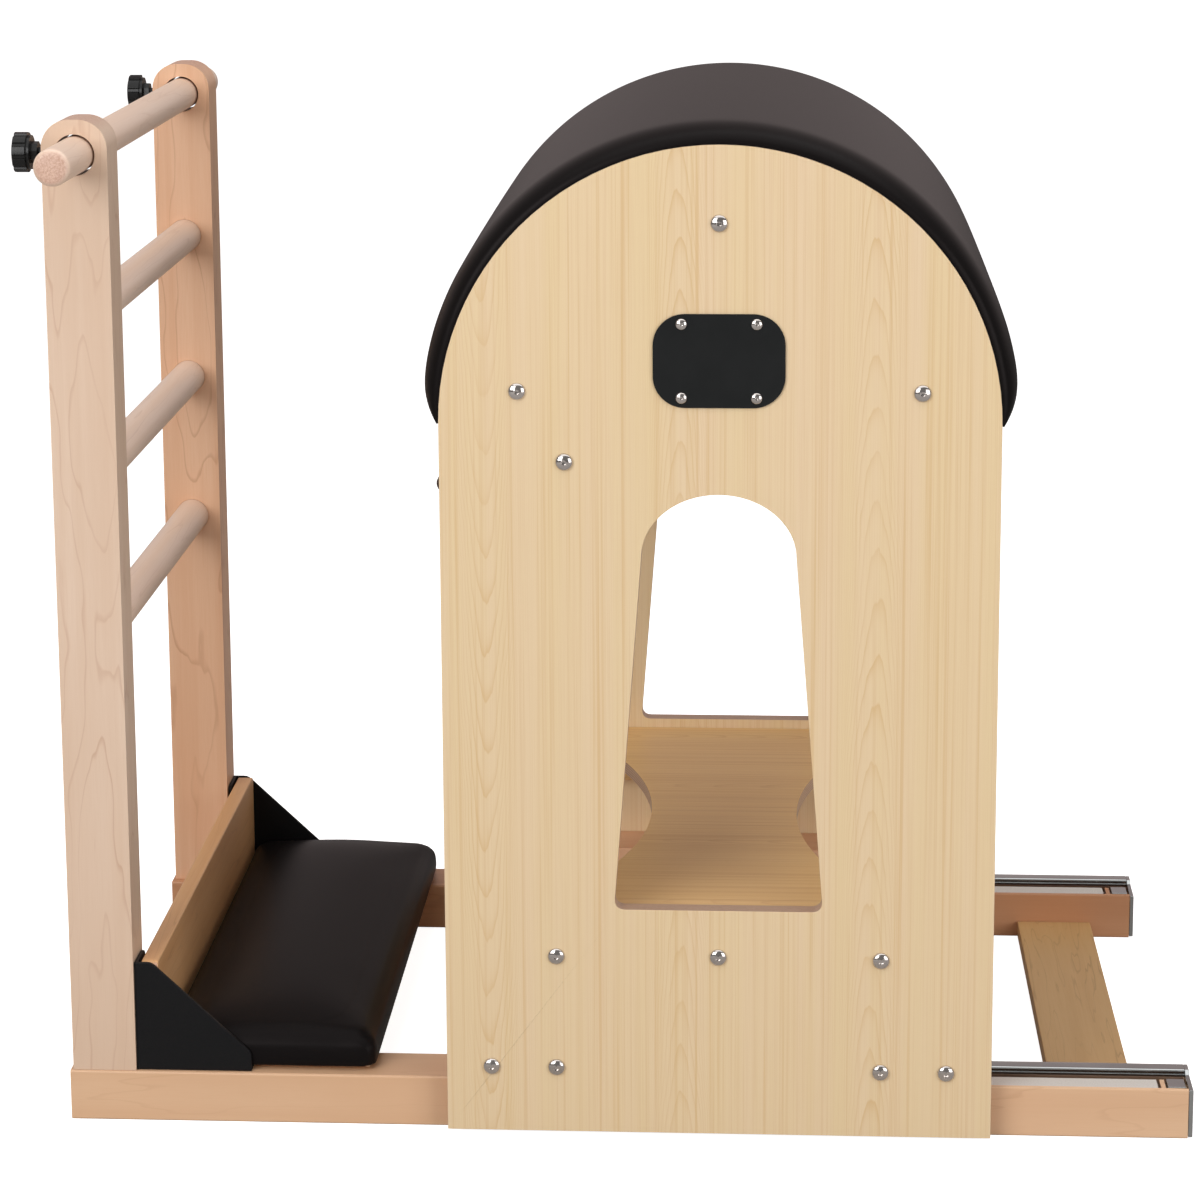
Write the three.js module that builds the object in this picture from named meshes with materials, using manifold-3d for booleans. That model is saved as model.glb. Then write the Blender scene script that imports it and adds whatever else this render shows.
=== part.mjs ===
// A ladder barrel for pilates: a padded half barrel that rolls along two base rails, facing an upright ladder.
// X runs from the ladder to the barrel, Y from the front side to the rear side, Z up; the floor is z = 0.
import * as THREE from "three";
import { mergeVertices } from "three/addons/utils/BufferGeometryUtils.js";
import Module from "manifold-3d";

// Clearances
const seatGap = 0.3;
const runningGap = 0.5;
const boreGap = 0.3;

// Base rails
const railLength = 1164;
const railWidth = 63;
const railHeight = 54.5;
const railEdge = 2.5;
const frameDepth = 651;

// Track parts let into the rails
const trackRecessStart = 415;
const trackRecessDepth = 3.4;
const trackOffset = 40;
const trackWidth = 16;
const trackHeight = 8.4;
const trackEdge = 2.2;
const trackFootEdge = 0.8;
const trackLip = 2.8;
const trackGroove = 2.8;
const trackGrooveDepth = 1.4;
const slotOffset = 25;
const slotDepth = 16;
const stripOffset = 2.5;
const stripDepth = 5;
const stripEndGap = 31;
const ribEndGap = 23;
const ribLength = 5;
const stopLength = 18;
const stopEndGap = 3;
const stopRise = 1;
const endPlateThickness = 4.5;
const endPlateDepth = 57;
const endPlateFoot = 2;
const endPlateShoulder = 53;
const endPlateCrest = 58.5;

// Cross brace under the free ends of the rails
const braceWidth = 87;
const braceThickness = 18;
const braceFoot = 1.5;
const braceEndGap = 47;

// Ladder
const postWidth = 66.5;
const postDepth = 51.5;
const postInset = 3.3;
const postSetback = 1.8;
const postTopRadius = 29;
const barHeight = 1019.5;
const postCrest = 35.5;
const barRadius = 18.6;
const barHoleRadius = 20.8;
const barLength = 860;
const barEndRadius = 10;
const firstRungDrop = 167.6;
const rungSpacing = 169.5;
const rungRadius = 19;
const rungTenon = 34;

// Clamp knobs
const knobRadius = 20.3;
const knobFlutes = 10;
const knobFluteDepth = 1.5;
const knobHeadLength = 13.1;
const knobDome = 2.1;
const knobTierRadius = 17.3;
const knobTierLength = 3.3;
const knobHubRadius = 11;
const knobHubLength = 7.1;
const knobStudRadius = 5;
const knobStandoff = 7.6;
const frontKnobTurn = 123;
const rearKnobTurn = 104;

// Foot rest
const kickboardThickness = 18;
const kickboardGap = 7;
const kickboardTop = 172.5;
const kickboardCorner = 6;
const gussetThickness = 4;
const gussetSetback = 4.5;
const gussetLength = 121.5;
const gussetTop = 172.5;
const gussetToe = 20.5;
const gussetShoulder = 18;
const gussetFlange = 40;
const gussetFlangeCorner = 9;
const gussetFootThickness = 2;
const gussetCorner = 5;
const cushionLength = 226;
const cushionTop = 95.5;
const cushionGap = 1;
const cushionEdge = 13;
const cushionEndDrop = 8;
const cushionCrown = 6;
const cushionDraw = 3;
const footBoardThickness = 12;
const footBoardInset = 7;

// Barrel sides
const barrelOffset = 679.8;
const panelWidth = 560;
const panelThickness = 19;
const panelGap = 4.3;
const panelFoot = 6.8;
const springHeight = 753.7;
const windowFoot = 248.2;
const windowFootHalf = 106.3;
const windowArchFoot = 618;
const windowArchHalf = 77.6;
const windowArchRise = 64.8;
const windowCorner = 12;
const badgeWidth = 131.5;
const badgeHeight = 94.5;
const badgeMiddle = 818.7;
const badgeCorner = 32;
const badgeThickness = 2;

// Barrel top
const shellThickness = 8;
const padTopThickness = 18.5;
const padSideThickness = 24;
const padEdge = 8;
const padEdgeDepth = 12;
const padTaper = 60;
const padTip = 1.5;
const padCrown = 1;

// Stretchers between the sides
const stretcherWidth = 40;
const stretcherHeight = 55;
const stretcherEdge = 4;
const topStretcherHeight = 956;
const sideStretcherHeight = 787;
const sideStretcherReach = 201;

// Shelf
const shelfTop = 237.5;
const shelfThickness = 15;
const shelfWaistHalf = 81.5;
const shelfCutRadius = 480;
const cleatHalf = 195;
const cleatHeight = 46;
const cleatThickness = 22;
const cleatEdge = 2;

// Carriage that rolls on the tracks
const beamHalf = 268;
const beamFoot = 62;
const beamTop = 105;
const beamEdge = 2;
const axleHeight = 77;
const innerAxleReach = 166.5;
const outerAxleReach = 233.5;
const rollerWidth = 12;
const rollerEdge = 1.2;
const pocketMargin = 3;
const axleRadius = 4;
const boltHeadRadius = 8.4;
const boltHeadHeight = 5;
const boltSocketRadius = 2.9;
const boltSocketDepth = 3;

// Release paddle and its lock rods
const pivotReach = -154.3;
const pivotHeight = 715.6;
const pivotPocket = 30;
const noseReach = -274.5;
const noseHeight = 688.5;
const paddleThickness = 20;
const paddleTail = 16;
const rodReach = -250;
const rodRadius = 4;
const rodTip = 47;
const rodTipBevel = 1.6;
const rodHoleRadius = 8.5;
const rodHeadRadius = 12;
const rodHeadHeight = 5;
const rodTop = 713;

// Positions that follow from the lengths
const footRestSeat = railHeight + gussetFootThickness + seatGap * 2;
const knobLength = knobDome + knobHeadLength + knobTierLength + knobHubLength;
const knobOverhang = knobLength + knobStandoff - postInset;
const overallLength = knobOverhang + railLength + seatGap + endPlateThickness;
const railLeft = knobOverhang - overallLength / 2;
const railRight = railLeft + railLength;
const barrelX = railLeft + barrelOffset;
const postLeft = railLeft + postInset;
const postRight = postLeft + postWidth;
const postX = postLeft + postWidth / 2;
const postTop = barHeight + postCrest;
const barrelRadius = panelWidth / 2;
const innerHalf = frameDepth / 2 + panelGap;
const outerHalf = innerHalf + panelThickness;
const trackTop = railHeight - trackRecessDepth + trackHeight;
const rollerRadius = axleHeight - trackTop - boreGap;
const sides = [
  { name: "front", sign: -1, railFace: -frameDepth / 2, knobTurn: frontKnobTurn },
  { name: "rear", sign: 1, railFace: frameDepth / 2 - railWidth, knobTurn: rearKnobTurn },
];

// Materials
function paint(color, metalness, roughness) {
  return new THREE.MeshStandardMaterial({ color, metalness, roughness });
}

const maple = paint(0xd9b894, 0, 0.55);
const plywood = paint(0xe0c59f, 0, 0.5);
const leatherette = paint(0x2b2a2b, 0, 0.6);
const blackSteel = paint(0x1d1d1f, 0.3, 0.6);
const brightSteel = paint(0x8d8986, 1, 0.3);
const boltSteel = paint(0xb9b6b2, 1, 0.35);
const whiteStrip = paint(0xdad5d0, 0, 0.5);
const blackPlastic = paint(0x161616, 0, 0.5);
const greyPlastic = paint(0x6a6b6c, 0, 0.6);
const badgeBlack = paint(0x2b2d2f, 0.2, 0.5);

const group = new THREE.Group();
group.name = "pilates_ladder_barrel";

function add(name, geometry, material) {
  const mesh = new THREE.Mesh(geometry, material.clone());
  mesh.name = name;
  group.add(mesh);
}

// Outlines and solids
const quarterTurn = [0, 1, 2, 3].map((k) => (k / 3) * (Math.PI / 2));

function roundedRect(left, foot, right, top, radius) {
  const shape = new THREE.Shape();
  shape.moveTo(left + radius, foot);
  shape.lineTo(right - radius, foot);
  shape.absarc(right - radius, foot + radius, radius, -Math.PI / 2, 0, false);
  shape.lineTo(right, top - radius);
  shape.absarc(right - radius, top - radius, radius, 0, Math.PI / 2, false);
  shape.lineTo(left + radius, top);
  shape.absarc(left + radius, top - radius, radius, Math.PI / 2, Math.PI, false);
  shape.lineTo(left, foot + radius);
  shape.absarc(left + radius, foot + radius, radius, Math.PI, Math.PI * 1.5, false);
  return shape;
}

function polygon(points) {
  return new THREE.Shape(points.map(([a, b]) => new THREE.Vector2(a, b)));
}

// A closed outline through corner points [a, b, rounding].
function softPolygon(points) {
  const shape = new THREE.Shape();
  const at = (k) => new THREE.Vector2(...points[(k + points.length) % points.length]);
  points.forEach(([a, b, rounding], k) => {
    const corner = at(k);
    const start = at(k - 1).sub(corner).setLength(rounding).add(corner);
    const end = at(k + 1).sub(corner).setLength(rounding).add(corner);
    if (k === 0) shape.moveTo(start.x, start.y);
    else shape.lineTo(start.x, start.y);
    if (rounding > 0) shape.quadraticCurveTo(a, b, end.x, end.y);
  });
  shape.closePath();
  return shape;
}

function extrude(shape, length, curveSegments) {
  return new THREE.ExtrudeGeometry(shape, { depth: length, bevelEnabled: false, curveSegments });
}

// The outline lies in (y, z) and runs along X.
function alongX(shape, from, to, curveSegments = 3) {
  const turn = new THREE.Matrix4().makeBasis(
    new THREE.Vector3(0, 1, 0), new THREE.Vector3(0, 0, 1), new THREE.Vector3(1, 0, 0));
  return extrude(shape, to - from, curveSegments).applyMatrix4(turn).translate(from, 0, 0);
}

// The outline lies in (x, z) and runs along Y.
function alongY(shape, from, to, curveSegments = 3) {
  const turn = new THREE.Matrix4().makeBasis(
    new THREE.Vector3(1, 0, 0), new THREE.Vector3(0, 0, 1), new THREE.Vector3(0, -1, 0));
  return extrude(shape, to - from, curveSegments).applyMatrix4(turn).translate(0, to, 0);
}

// The outline lies in (x, y) and runs along Z.
function alongZ(shape, from, to, curveSegments = 3) {
  return extrude(shape, to - from, curveSegments).translate(0, 0, from);
}

function box(x0, x1, y0, y1, z0, z1) {
  const geometry = new THREE.BoxGeometry(x1 - x0, y1 - y0, z1 - z0);
  return geometry.translate((x0 + x1) / 2, (y0 + y1) / 2, (z0 + z1) / 2);
}

function rodAlong(axis, radius, from, to, segments) {
  const geometry = new THREE.CylinderGeometry(radius, radius, to - from, segments);
  geometry.translate(0, (from + to) / 2, 0);
  if (axis === "x") geometry.rotateZ(-Math.PI / 2);
  if (axis === "z") geometry.rotateX(Math.PI / 2);
  return geometry;
}

function lathe(points, segments) {
  return new THREE.LatheGeometry(points.map(([r, h]) => new THREE.Vector2(r, h)), segments);
}

// Solid operations
const wasm = await Module();
wasm.setup();

function solidOf(geometry) {
  const bare = geometry.clone();
  bare.deleteAttribute("normal");
  bare.deleteAttribute("uv");
  const merged = mergeVertices(bare);
  return new wasm.Manifold(new wasm.Mesh({
    numProp: 3,
    vertProperties: new Float32Array(merged.attributes.position.array),
    triVerts: new Uint32Array(merged.index.array),
  }));
}

function geometryOf(solid) {
  const mesh = solid.getMesh();
  const geometry = new THREE.BufferGeometry();
  geometry.setAttribute("position", new THREE.BufferAttribute(mesh.vertProperties, 3));
  geometry.setIndex(new THREE.BufferAttribute(mesh.triVerts, 1));
  return geometry;
}

function cut(body, ...tools) {
  return geometryOf(tools.reduce((left, tool) => left.subtract(solidOf(tool)), solidOf(body)));
}

function join(...bodies) {
  return geometryOf(bodies.slice(1).reduce((left, body) => left.add(solidOf(body)), solidOf(bodies[0])));
}

// A closed solid through rings of points that all have the same count, with flat ends.
function loft(rings) {
  const count = rings[0].length;
  const positions = rings.flat(2);
  const index = [];
  for (let i = 0; i + 1 < rings.length; i += 1) {
    for (let j = 0; j < count; j += 1) {
      const a = i * count + j;
      const b = i * count + (j + 1) % count;
      index.push(a, b, b + count, a, b + count, a + count);
    }
  }
  const last = (rings.length - 1) * count;
  for (let j = 1; j + 1 < count; j += 1) {
    index.push(0, j + 1, j);
    index.push(last, last + j, last + j + 1);
  }
  const geometry = new THREE.BufferGeometry();
  geometry.setAttribute("position", new THREE.Float32BufferAttribute(positions, 3));
  geometry.setIndex(index);
  return geometry;
}

// Base rails: wooden beams with a shallow seat for the track, a lock slot and a strip groove.
function baseRail(side) {
  const y = side.railFace;
  const start = railLeft + trackRecessStart;
  const profile = roundedRect(y, 0, y + railWidth, railHeight, railEdge);
  const above = railHeight + trackHeight;
  const seat = box(start, railRight + seatGap, y + trackOffset - seatGap,
    y + trackOffset + trackWidth + seatGap, railHeight - trackRecessDepth, above);
  const slot = box(start, railRight + seatGap, y + slotOffset, y + trackOffset,
    railHeight - slotDepth, above);
  const groove = box(start, railRight - ribEndGap - ribLength, y + stripOffset, y + slotOffset + seatGap,
    railHeight - stripDepth, above);
  const pocket = box(railRight - ribEndGap, railRight + seatGap, y + stripOffset, y + slotOffset + seatGap,
    railHeight - stripDepth, above);
  add("base_rail_" + side.name, cut(alongX(profile, railLeft, railRight), seat, slot, groove, pocket), maple);
}

// Tracks: drawn bars with rounded shoulders and a shallow groove along the face beside the lock slot.
function track(side) {
  const y = side.railFace + trackOffset;
  const foot = railHeight - trackRecessDepth + seatGap;
  const grooveTop = trackTop - trackLip;
  const grooveFoot = grooveTop - trackGroove;
  const profile = softPolygon([
    [y, foot, trackFootEdge],
    [y + trackWidth, foot, trackFootEdge],
    [y + trackWidth, trackTop, trackEdge],
    [y, trackTop, trackEdge],
    [y, grooveTop, 0],
    [y + trackGrooveDepth, grooveTop, 0],
    [y + trackGrooveDepth, grooveFoot, 0],
    [y, grooveFoot, 0],
  ]);
  const start = railLeft + trackRecessStart + seatGap;
  add("track_" + side.name, alongX(profile, start, railRight), brightSteel);
}

function glideStrip(side) {
  const y = side.railFace + stripOffset + seatGap;
  const start = railLeft + trackRecessStart + seatGap;
  const strip = box(start, railRight - stripEndGap, y, side.railFace + slotOffset - seatGap,
    railHeight - stripDepth + seatGap, railHeight);
  add("glide_strip_" + side.name, strip, whiteStrip);
}

function endStop(side) {
  const right = railRight - stopEndGap;
  const stop = box(right - stopLength, right, side.railFace + stripOffset + seatGap,
    side.railFace + slotOffset - seatGap, railHeight - stripDepth + seatGap, railHeight + stopRise);
  add("end_stop_" + side.name, stop, brightSteel);
}

function endPlate(side) {
  const y = side.railFace;
  const profile = polygon([
    [y, endPlateFoot],
    [y + endPlateDepth, endPlateFoot],
    [y + endPlateDepth, endPlateCrest],
    [y + trackOffset + trackEdge, endPlateCrest],
    [y + trackOffset - trackEdge, railHeight],
    [y, endPlateShoulder],
  ]);
  const left = railRight + seatGap;
  add("end_plate_" + side.name, alongX(profile, left, left + endPlateThickness), brightSteel);
}

function crossBrace() {
  const right = railRight - braceEndGap;
  const reach = frameDepth / 2 - railWidth - seatGap;
  const profile = roundedRect(right - braceWidth, -reach, right, reach, railEdge);
  add("cross_brace", alongZ(profile, braceFoot, braceFoot + braceThickness), maple);
}

// Ladder posts: rounded tops, a through hole for the bar, sockets for the rungs and a hole for the knob's stud.
function postFace(side) {
  return side.sign < 0 ? side.railFace + postSetback : frameDepth / 2 - postSetback - postDepth;
}

function ladderPost(side) {
  const y = postFace(side);
  const foot = railHeight + seatGap;
  const shape = new THREE.Shape();
  shape.moveTo(postLeft, foot);
  shape.lineTo(postRight, foot);
  shape.lineTo(postRight, postTop - postTopRadius);
  shape.absarc(postRight - postTopRadius, postTop - postTopRadius, postTopRadius, 0, Math.PI / 2, false);
  shape.lineTo(postLeft + postTopRadius, postTop);
  shape.absarc(postLeft + postTopRadius, postTop - postTopRadius, postTopRadius, Math.PI / 2, Math.PI, false);
  shape.closePath();
  const body = alongY(shape, y, y + postDepth, 9);
  const hole = rodAlong("y", barHoleRadius, y - seatGap, y + postDepth + seatGap, 36);
  hole.translate(postX, 0, barHeight);
  const inner = side.sign < 0 ? y + postDepth : y;
  const sockets = [0, 1, 2].map((step) => {
    const socket = rodAlong("y", rungRadius + seatGap, -rungTenon - seatGap, rungTenon + seatGap, 30);
    return socket.translate(postX, inner, rungHeight(step));
  });
  const stud = rodAlong("x", knobStudRadius + boreGap, postLeft - knobStudRadius, postX, 14);
  stud.translate(0, y + postDepth / 2, barHeight);
  add("ladder_post_" + side.name, cut(body, hole, ...sockets, stud), maple);
}

function rungHeight(step) {
  return barHeight - firstRungDrop - step * rungSpacing;
}

function rung(step, name) {
  const reach = frameDepth / 2 - postSetback - postDepth + rungTenon;
  const dowel = rodAlong("y", rungRadius, -reach, reach, 30);
  add(name, dowel.translate(postX, 0, rungHeight(step)), maple);
}

function topBar() {
  const half = barLength / 2;
  const points = [[0, -half]];
  quarterTurn.forEach((a) => points.push([
    barRadius - barEndRadius + barEndRadius * Math.sin(a), -half + barEndRadius - barEndRadius * Math.cos(a)]));
  quarterTurn.slice().reverse().forEach((a) => points.push([
    barRadius - barEndRadius + barEndRadius * Math.sin(a), half - barEndRadius + barEndRadius * Math.cos(a)]));
  points.push([0, half]);
  add("top_bar", lathe(points, 30).translate(postX, 0, barHeight), maple);
}

// Clamp knobs: a fluted head with a domed face, a stepped eight-sided neck and a stud that reaches the bar.
function clampKnob(side) {
  const fluteShares = [[0, 0], [0.2, 0], [0.4, 0], [0.6, 0], [0.68, 1], [0.92, 1]];
  const outline = [];
  for (let flute = 0; flute < knobFlutes; flute += 1) {
    fluteShares.forEach(([turnShare, depthShare]) => {
      const angle = ((flute + turnShare) / knobFlutes) * Math.PI * 2;
      const radius = knobRadius - knobFluteDepth * depthShare;
      outline.push([radius * Math.cos(angle), radius * Math.sin(angle)]);
    });
  }
  const hubEnd = postLeft - knobStandoff;
  const hubStart = hubEnd - knobHubLength;
  const tierStart = hubStart - knobTierLength;
  const headStart = tierStart - knobHeadLength;
  const head = alongX(polygon(outline), headStart, tierStart);
  const rimRadius = knobRadius - knobFluteDepth;
  const domeProfile = [[0, 0],
    ...quarterTurn.slice(0, -1).map((a) => [rimRadius * Math.cos(a), knobDome * Math.sin(a)]), [0, knobDome]];
  const dome = lathe(domeProfile, 27).rotateZ(Math.PI / 2).translate(headStart, 0, 0);
  const tier = rodAlong("x", knobTierRadius, tierStart - knobTierLength, hubStart, 27);
  const hub = rodAlong("x", knobHubRadius, tierStart, hubEnd, 8);
  const stud = rodAlong("x", knobStudRadius, hubStart, postX - barRadius - runningGap, 14);
  const y = postFace(side) + postDepth / 2;
  const knob = join(head, dome, tier, hub, stud).rotateX(THREE.MathUtils.degToRad(side.knobTurn));
  add("clamp_knob_" + side.name, knob.translate(0, y, barHeight), blackPlastic);
}

// Foot rest: kickboard, gusset brackets and the padded step between the ladder and the barrel.
const kickboardLeft = postRight + kickboardGap;
const kickboardRight = kickboardLeft + kickboardThickness;
const gussetInner = frameDepth / 2 - gussetSetback - gussetThickness;

function kickboard() {
  const reach = gussetInner - seatGap;
  const shape = roundedRect(-reach, footRestSeat, reach, kickboardTop, kickboardCorner);
  add("kickboard", alongX(shape, kickboardLeft, kickboardRight), maple);
}

function gusset(side) {
  const left = postRight + seatGap;
  const right = postRight + gussetLength;
  const foot = railHeight + seatGap;
  const web = softPolygon([
    [left, foot, 0],
    [right, foot, 0],
    [right, foot + gussetToe, gussetCorner],
    [left + gussetShoulder, gussetTop, gussetCorner],
    [left, gussetTop, 0],
  ]);
  const outer = side.sign * (gussetInner + gussetThickness);
  const inner = side.sign * gussetInner;
  const flangeEnd = side.sign * (gussetInner - gussetFlange);
  const body = alongY(web, Math.min(outer, inner), Math.max(outer, inner));
  const low = Math.min(outer, flangeEnd);
  const high = Math.max(outer, flangeEnd);
  const upright = softPolygon([
    [outer, foot, 0],
    [flangeEnd, foot, 0],
    [flangeEnd, gussetTop, gussetFlangeCorner],
    [outer, gussetTop, 0],
  ]);
  const postFlange = alongX(upright, left, left + gussetThickness);
  const railFlange = box(left, right, low, high, foot, foot + gussetFootThickness);
  add("gusset_" + side.name, join(body, postFlange, railFlange), blackSteel);
}

// A rounded, crowned ring of the step cushion in (x, z), pulled in from all sides by an inset.
function cushionRing(left, right, y, inset) {
  const ring = [];
  const x0 = left + inset;
  const x1 = right - inset;
  const top = cushionTop - cushionCrown - inset;
  const middle = (x0 + x1) / 2;
  const half = (x1 - x0) / 2;
  const crownShare = 1 - inset / cushionEdge;
  const point = (x, z) => {
    const share = (x - middle) / half;
    const lift = z > top - cushionEdge ? cushionCrown * crownShare * (1 - share * share) : 0;
    ring.push([x, y, z + lift]);
  };
  point(x0 + cushionDraw, footRestSeat);
  point(x0, footRestSeat + cushionDraw * 2);
  quarterTurn.forEach((a) => point(
    x0 + cushionEdge * (1 - Math.cos(a)), top - cushionEdge + cushionEdge * Math.sin(a)));
  for (let k = 1; k < 6; k += 1) {
    point(x0 + cushionEdge + (k / 6) * (x1 - x0 - cushionEdge * 2), top);
  }
  quarterTurn.slice().reverse().forEach((a) => point(
    x1 - cushionEdge * (1 - Math.cos(a)), top - cushionEdge + cushionEdge * Math.sin(a)));
  point(x1, footRestSeat + cushionDraw * 2);
  point(x1 - cushionDraw, footRestSeat);
  return ring;
}

function footCushion() {
  const left = kickboardRight + cushionGap;
  const right = left + cushionLength;
  const reach = gussetInner - seatGap;
  const rings = [];
  const flat = reach - cushionEdge;
  quarterTurn.forEach((a) => rings.push(
    cushionRing(left, right, -flat - cushionEdge * Math.cos(a), cushionEndDrop * (1 - Math.sin(a)))));
  for (let k = 1; k < 6; k += 1) {
    rings.push(cushionRing(left, right, (k / 3 - 1) * flat, 0));
  }
  quarterTurn.slice().reverse().forEach((a) => rings.push(
    cushionRing(left, right, flat + cushionEdge * Math.cos(a), cushionEndDrop * (1 - Math.sin(a)))));
  const boardTop = footRestSeat + footBoardThickness;
  const hollow = box(left + footBoardInset, right - footBoardInset, -reach + footBoardInset,
    reach - footBoardInset, footRestSeat - cushionEdge, boardTop);
  add("foot_cushion", cut(loft(rings), hollow), leatherette);
  const inset = footBoardInset + seatGap;
  const board = box(left + inset, right - inset, -reach + inset, reach - inset,
    footRestSeat + seatGap, boardTop - seatGap);
  add("foot_cushion_board", board, plywood);
}

// Barrel sides: arched panels with a tall window.
function sidePanel(side) {
  const shape = new THREE.Shape();
  shape.moveTo(barrelX - barrelRadius, panelFoot);
  shape.lineTo(barrelX + barrelRadius, panelFoot);
  shape.lineTo(barrelX + barrelRadius, springHeight);
  shape.absarc(barrelX, springHeight, barrelRadius, 0, Math.PI, false);
  shape.closePath();
  const hole = new THREE.Path();
  const slope = (windowFootHalf - windowArchHalf) / (windowArchFoot - windowFoot);
  hole.moveTo(barrelX - windowArchHalf, windowArchFoot);
  hole.lineTo(barrelX - windowFootHalf + windowCorner * slope, windowFoot + windowCorner);
  hole.quadraticCurveTo(barrelX - windowFootHalf, windowFoot,
    barrelX - windowFootHalf + windowCorner, windowFoot);
  hole.lineTo(barrelX + windowFootHalf - windowCorner, windowFoot);
  hole.quadraticCurveTo(barrelX + windowFootHalf, windowFoot,
    barrelX + windowFootHalf - windowCorner * slope, windowFoot + windowCorner);
  hole.lineTo(barrelX + windowArchHalf, windowArchFoot);
  hole.absellipse(barrelX, windowArchFoot, windowArchHalf, windowArchRise, 0, Math.PI, false);
  shape.holes.push(hole);
  const outer = side.sign * outerHalf;
  const inner = side.sign * innerHalf;
  const body = alongY(shape, Math.min(outer, inner), Math.max(outer, inner), 24);
  const bores = boltPlaces.map(([x, z]) => {
    const reach = outerHalf + boltHeadHeight;
    return rodAlong("y", axleRadius + boreGap, -reach, reach, 14).translate(x, 0, z);
  });
  add("side_panel_" + side.name, cut(body, ...bores), plywood);
}

const axleReaches = [-outerAxleReach, -innerAxleReach, innerAxleReach, outerAxleReach];
const boltPlaces = axleReaches.map((reach) => [barrelX + reach, axleHeight]);
boltPlaces.push([barrelX + pivotReach, pivotHeight]);

function badgePlate() {
  const half = badgeWidth / 2;
  const shape = roundedRect(barrelX - half, badgeMiddle - badgeHeight / 2, barrelX + half,
    badgeMiddle + badgeHeight / 2, badgeCorner);
  const face = -outerHalf - seatGap;
  add("badge_plate", alongY(shape, face - badgeThickness, face, 8), badgeBlack);
}

function barrelShell() {
  const outer = barrelRadius - seatGap;
  const inner = outer - shellThickness;
  const shape = new THREE.Shape();
  shape.moveTo(barrelX + outer, springHeight);
  shape.absarc(barrelX, springHeight, outer, 0, Math.PI, false);
  shape.lineTo(barrelX - inner, springHeight);
  shape.absarc(barrelX, springHeight, inner, Math.PI, 0, true);
  const reach = innerHalf - seatGap;
  add("barrel_shell", alongY(shape, -reach, reach, 44), plywood);
}

// The pad: a bent cushion over the shell and the panels' edges that thins out at both ends.
function padRing(angle, share) {
  const ring = [];
  const inner = barrelRadius + seatGap;
  const place = (y, r) => ring.push([
    barrelX + r * Math.cos(angle), y, springHeight + r * Math.sin(angle)]);
  const full = padTopThickness + (padSideThickness - padTopThickness) * Math.cos(angle) ** 2;
  const thickness = padTip + (full - padTip) * share;
  const edge = padEdge * share;
  const crown = padCrown * share;
  const depth = padEdgeDepth * share;
  const outer = inner + thickness;
  place(outerHalf, inner);
  place(-outerHalf, inner);
  quarterTurn.forEach((a) => place(
    -outerHalf + depth * (1 - Math.cos(a)), outer - crown - edge + edge * Math.sin(a)));
  [-0.5, 0, 0.5].forEach((share) => place(share * outerHalf, outer - crown * share * share));
  quarterTurn.slice().reverse().forEach((a) => place(
    outerHalf - depth * (1 - Math.cos(a)), outer - crown - edge + edge * Math.sin(a)));
  return ring;
}

function barrelPad() {
  const taper = padTaper / barrelRadius;
  const shares = [0, 0.1, 0.25, 0.45, 0.7];
  const stations = [];
  shares.forEach((share) => stations.push([share * taper, share]));
  const middle = 34;
  for (let k = 0; k <= middle; k += 1) {
    stations.push([taper + (k / middle) * (Math.PI - taper * 2), 1]);
  }
  shares.slice().reverse().forEach((share) => stations.push([Math.PI - share * taper, share]));
  const rings = stations.map(([angle, share]) => padRing(angle, 1 - (1 - share) ** 2));
  add("barrel_pad", loft(rings), leatherette);
}

function stretcher(name, x, z) {
  const reach = innerHalf - seatGap;
  const shape = roundedRect(x - stretcherWidth / 2, z - stretcherHeight / 2, x + stretcherWidth / 2,
    z + stretcherHeight / 2, stretcherEdge);
  add(name, alongY(shape, -reach, reach), maple);
}

// Shelf with hollowed long sides, on two cleats.
function shelf() {
  const reach = innerHalf - seatGap;
  const centre = shelfWaistHalf + shelfCutRadius;
  const sweep = Math.asin(reach / shelfCutRadius);
  const endHalf = centre - shelfCutRadius * Math.cos(sweep);
  const shape = new THREE.Shape();
  shape.moveTo(barrelX - endHalf, -reach);
  shape.lineTo(barrelX + endHalf, -reach);
  shape.absarc(barrelX + centre, 0, shelfCutRadius, Math.PI + sweep, Math.PI - sweep, true);
  shape.lineTo(barrelX - endHalf, reach);
  shape.absarc(barrelX - centre, 0, shelfCutRadius, sweep, -sweep, true);
  add("shelf", alongZ(shape, shelfTop - shelfThickness, shelfTop, 20), plywood);
}

function shelfCleat(side) {
  const outer = side.sign * (innerHalf - seatGap);
  const inner = side.sign * (innerHalf - seatGap - cleatThickness);
  const top = shelfTop - shelfThickness - seatGap;
  const profile = roundedRect(
    Math.min(outer, inner), top - cleatHeight, Math.max(outer, inner), top, cleatEdge);
  add("shelf_cleat_" + side.name, alongX(profile, barrelX - cleatHalf, barrelX + cleatHalf), maple);
}

// Carriage: a beam inside each panel, open below over four rollers.
function trackMiddle(side) {
  return side.railFace + trackOffset + trackWidth / 2;
}

function rodMiddle(side) {
  return side.railFace + (slotOffset + trackOffset) / 2;
}

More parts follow.
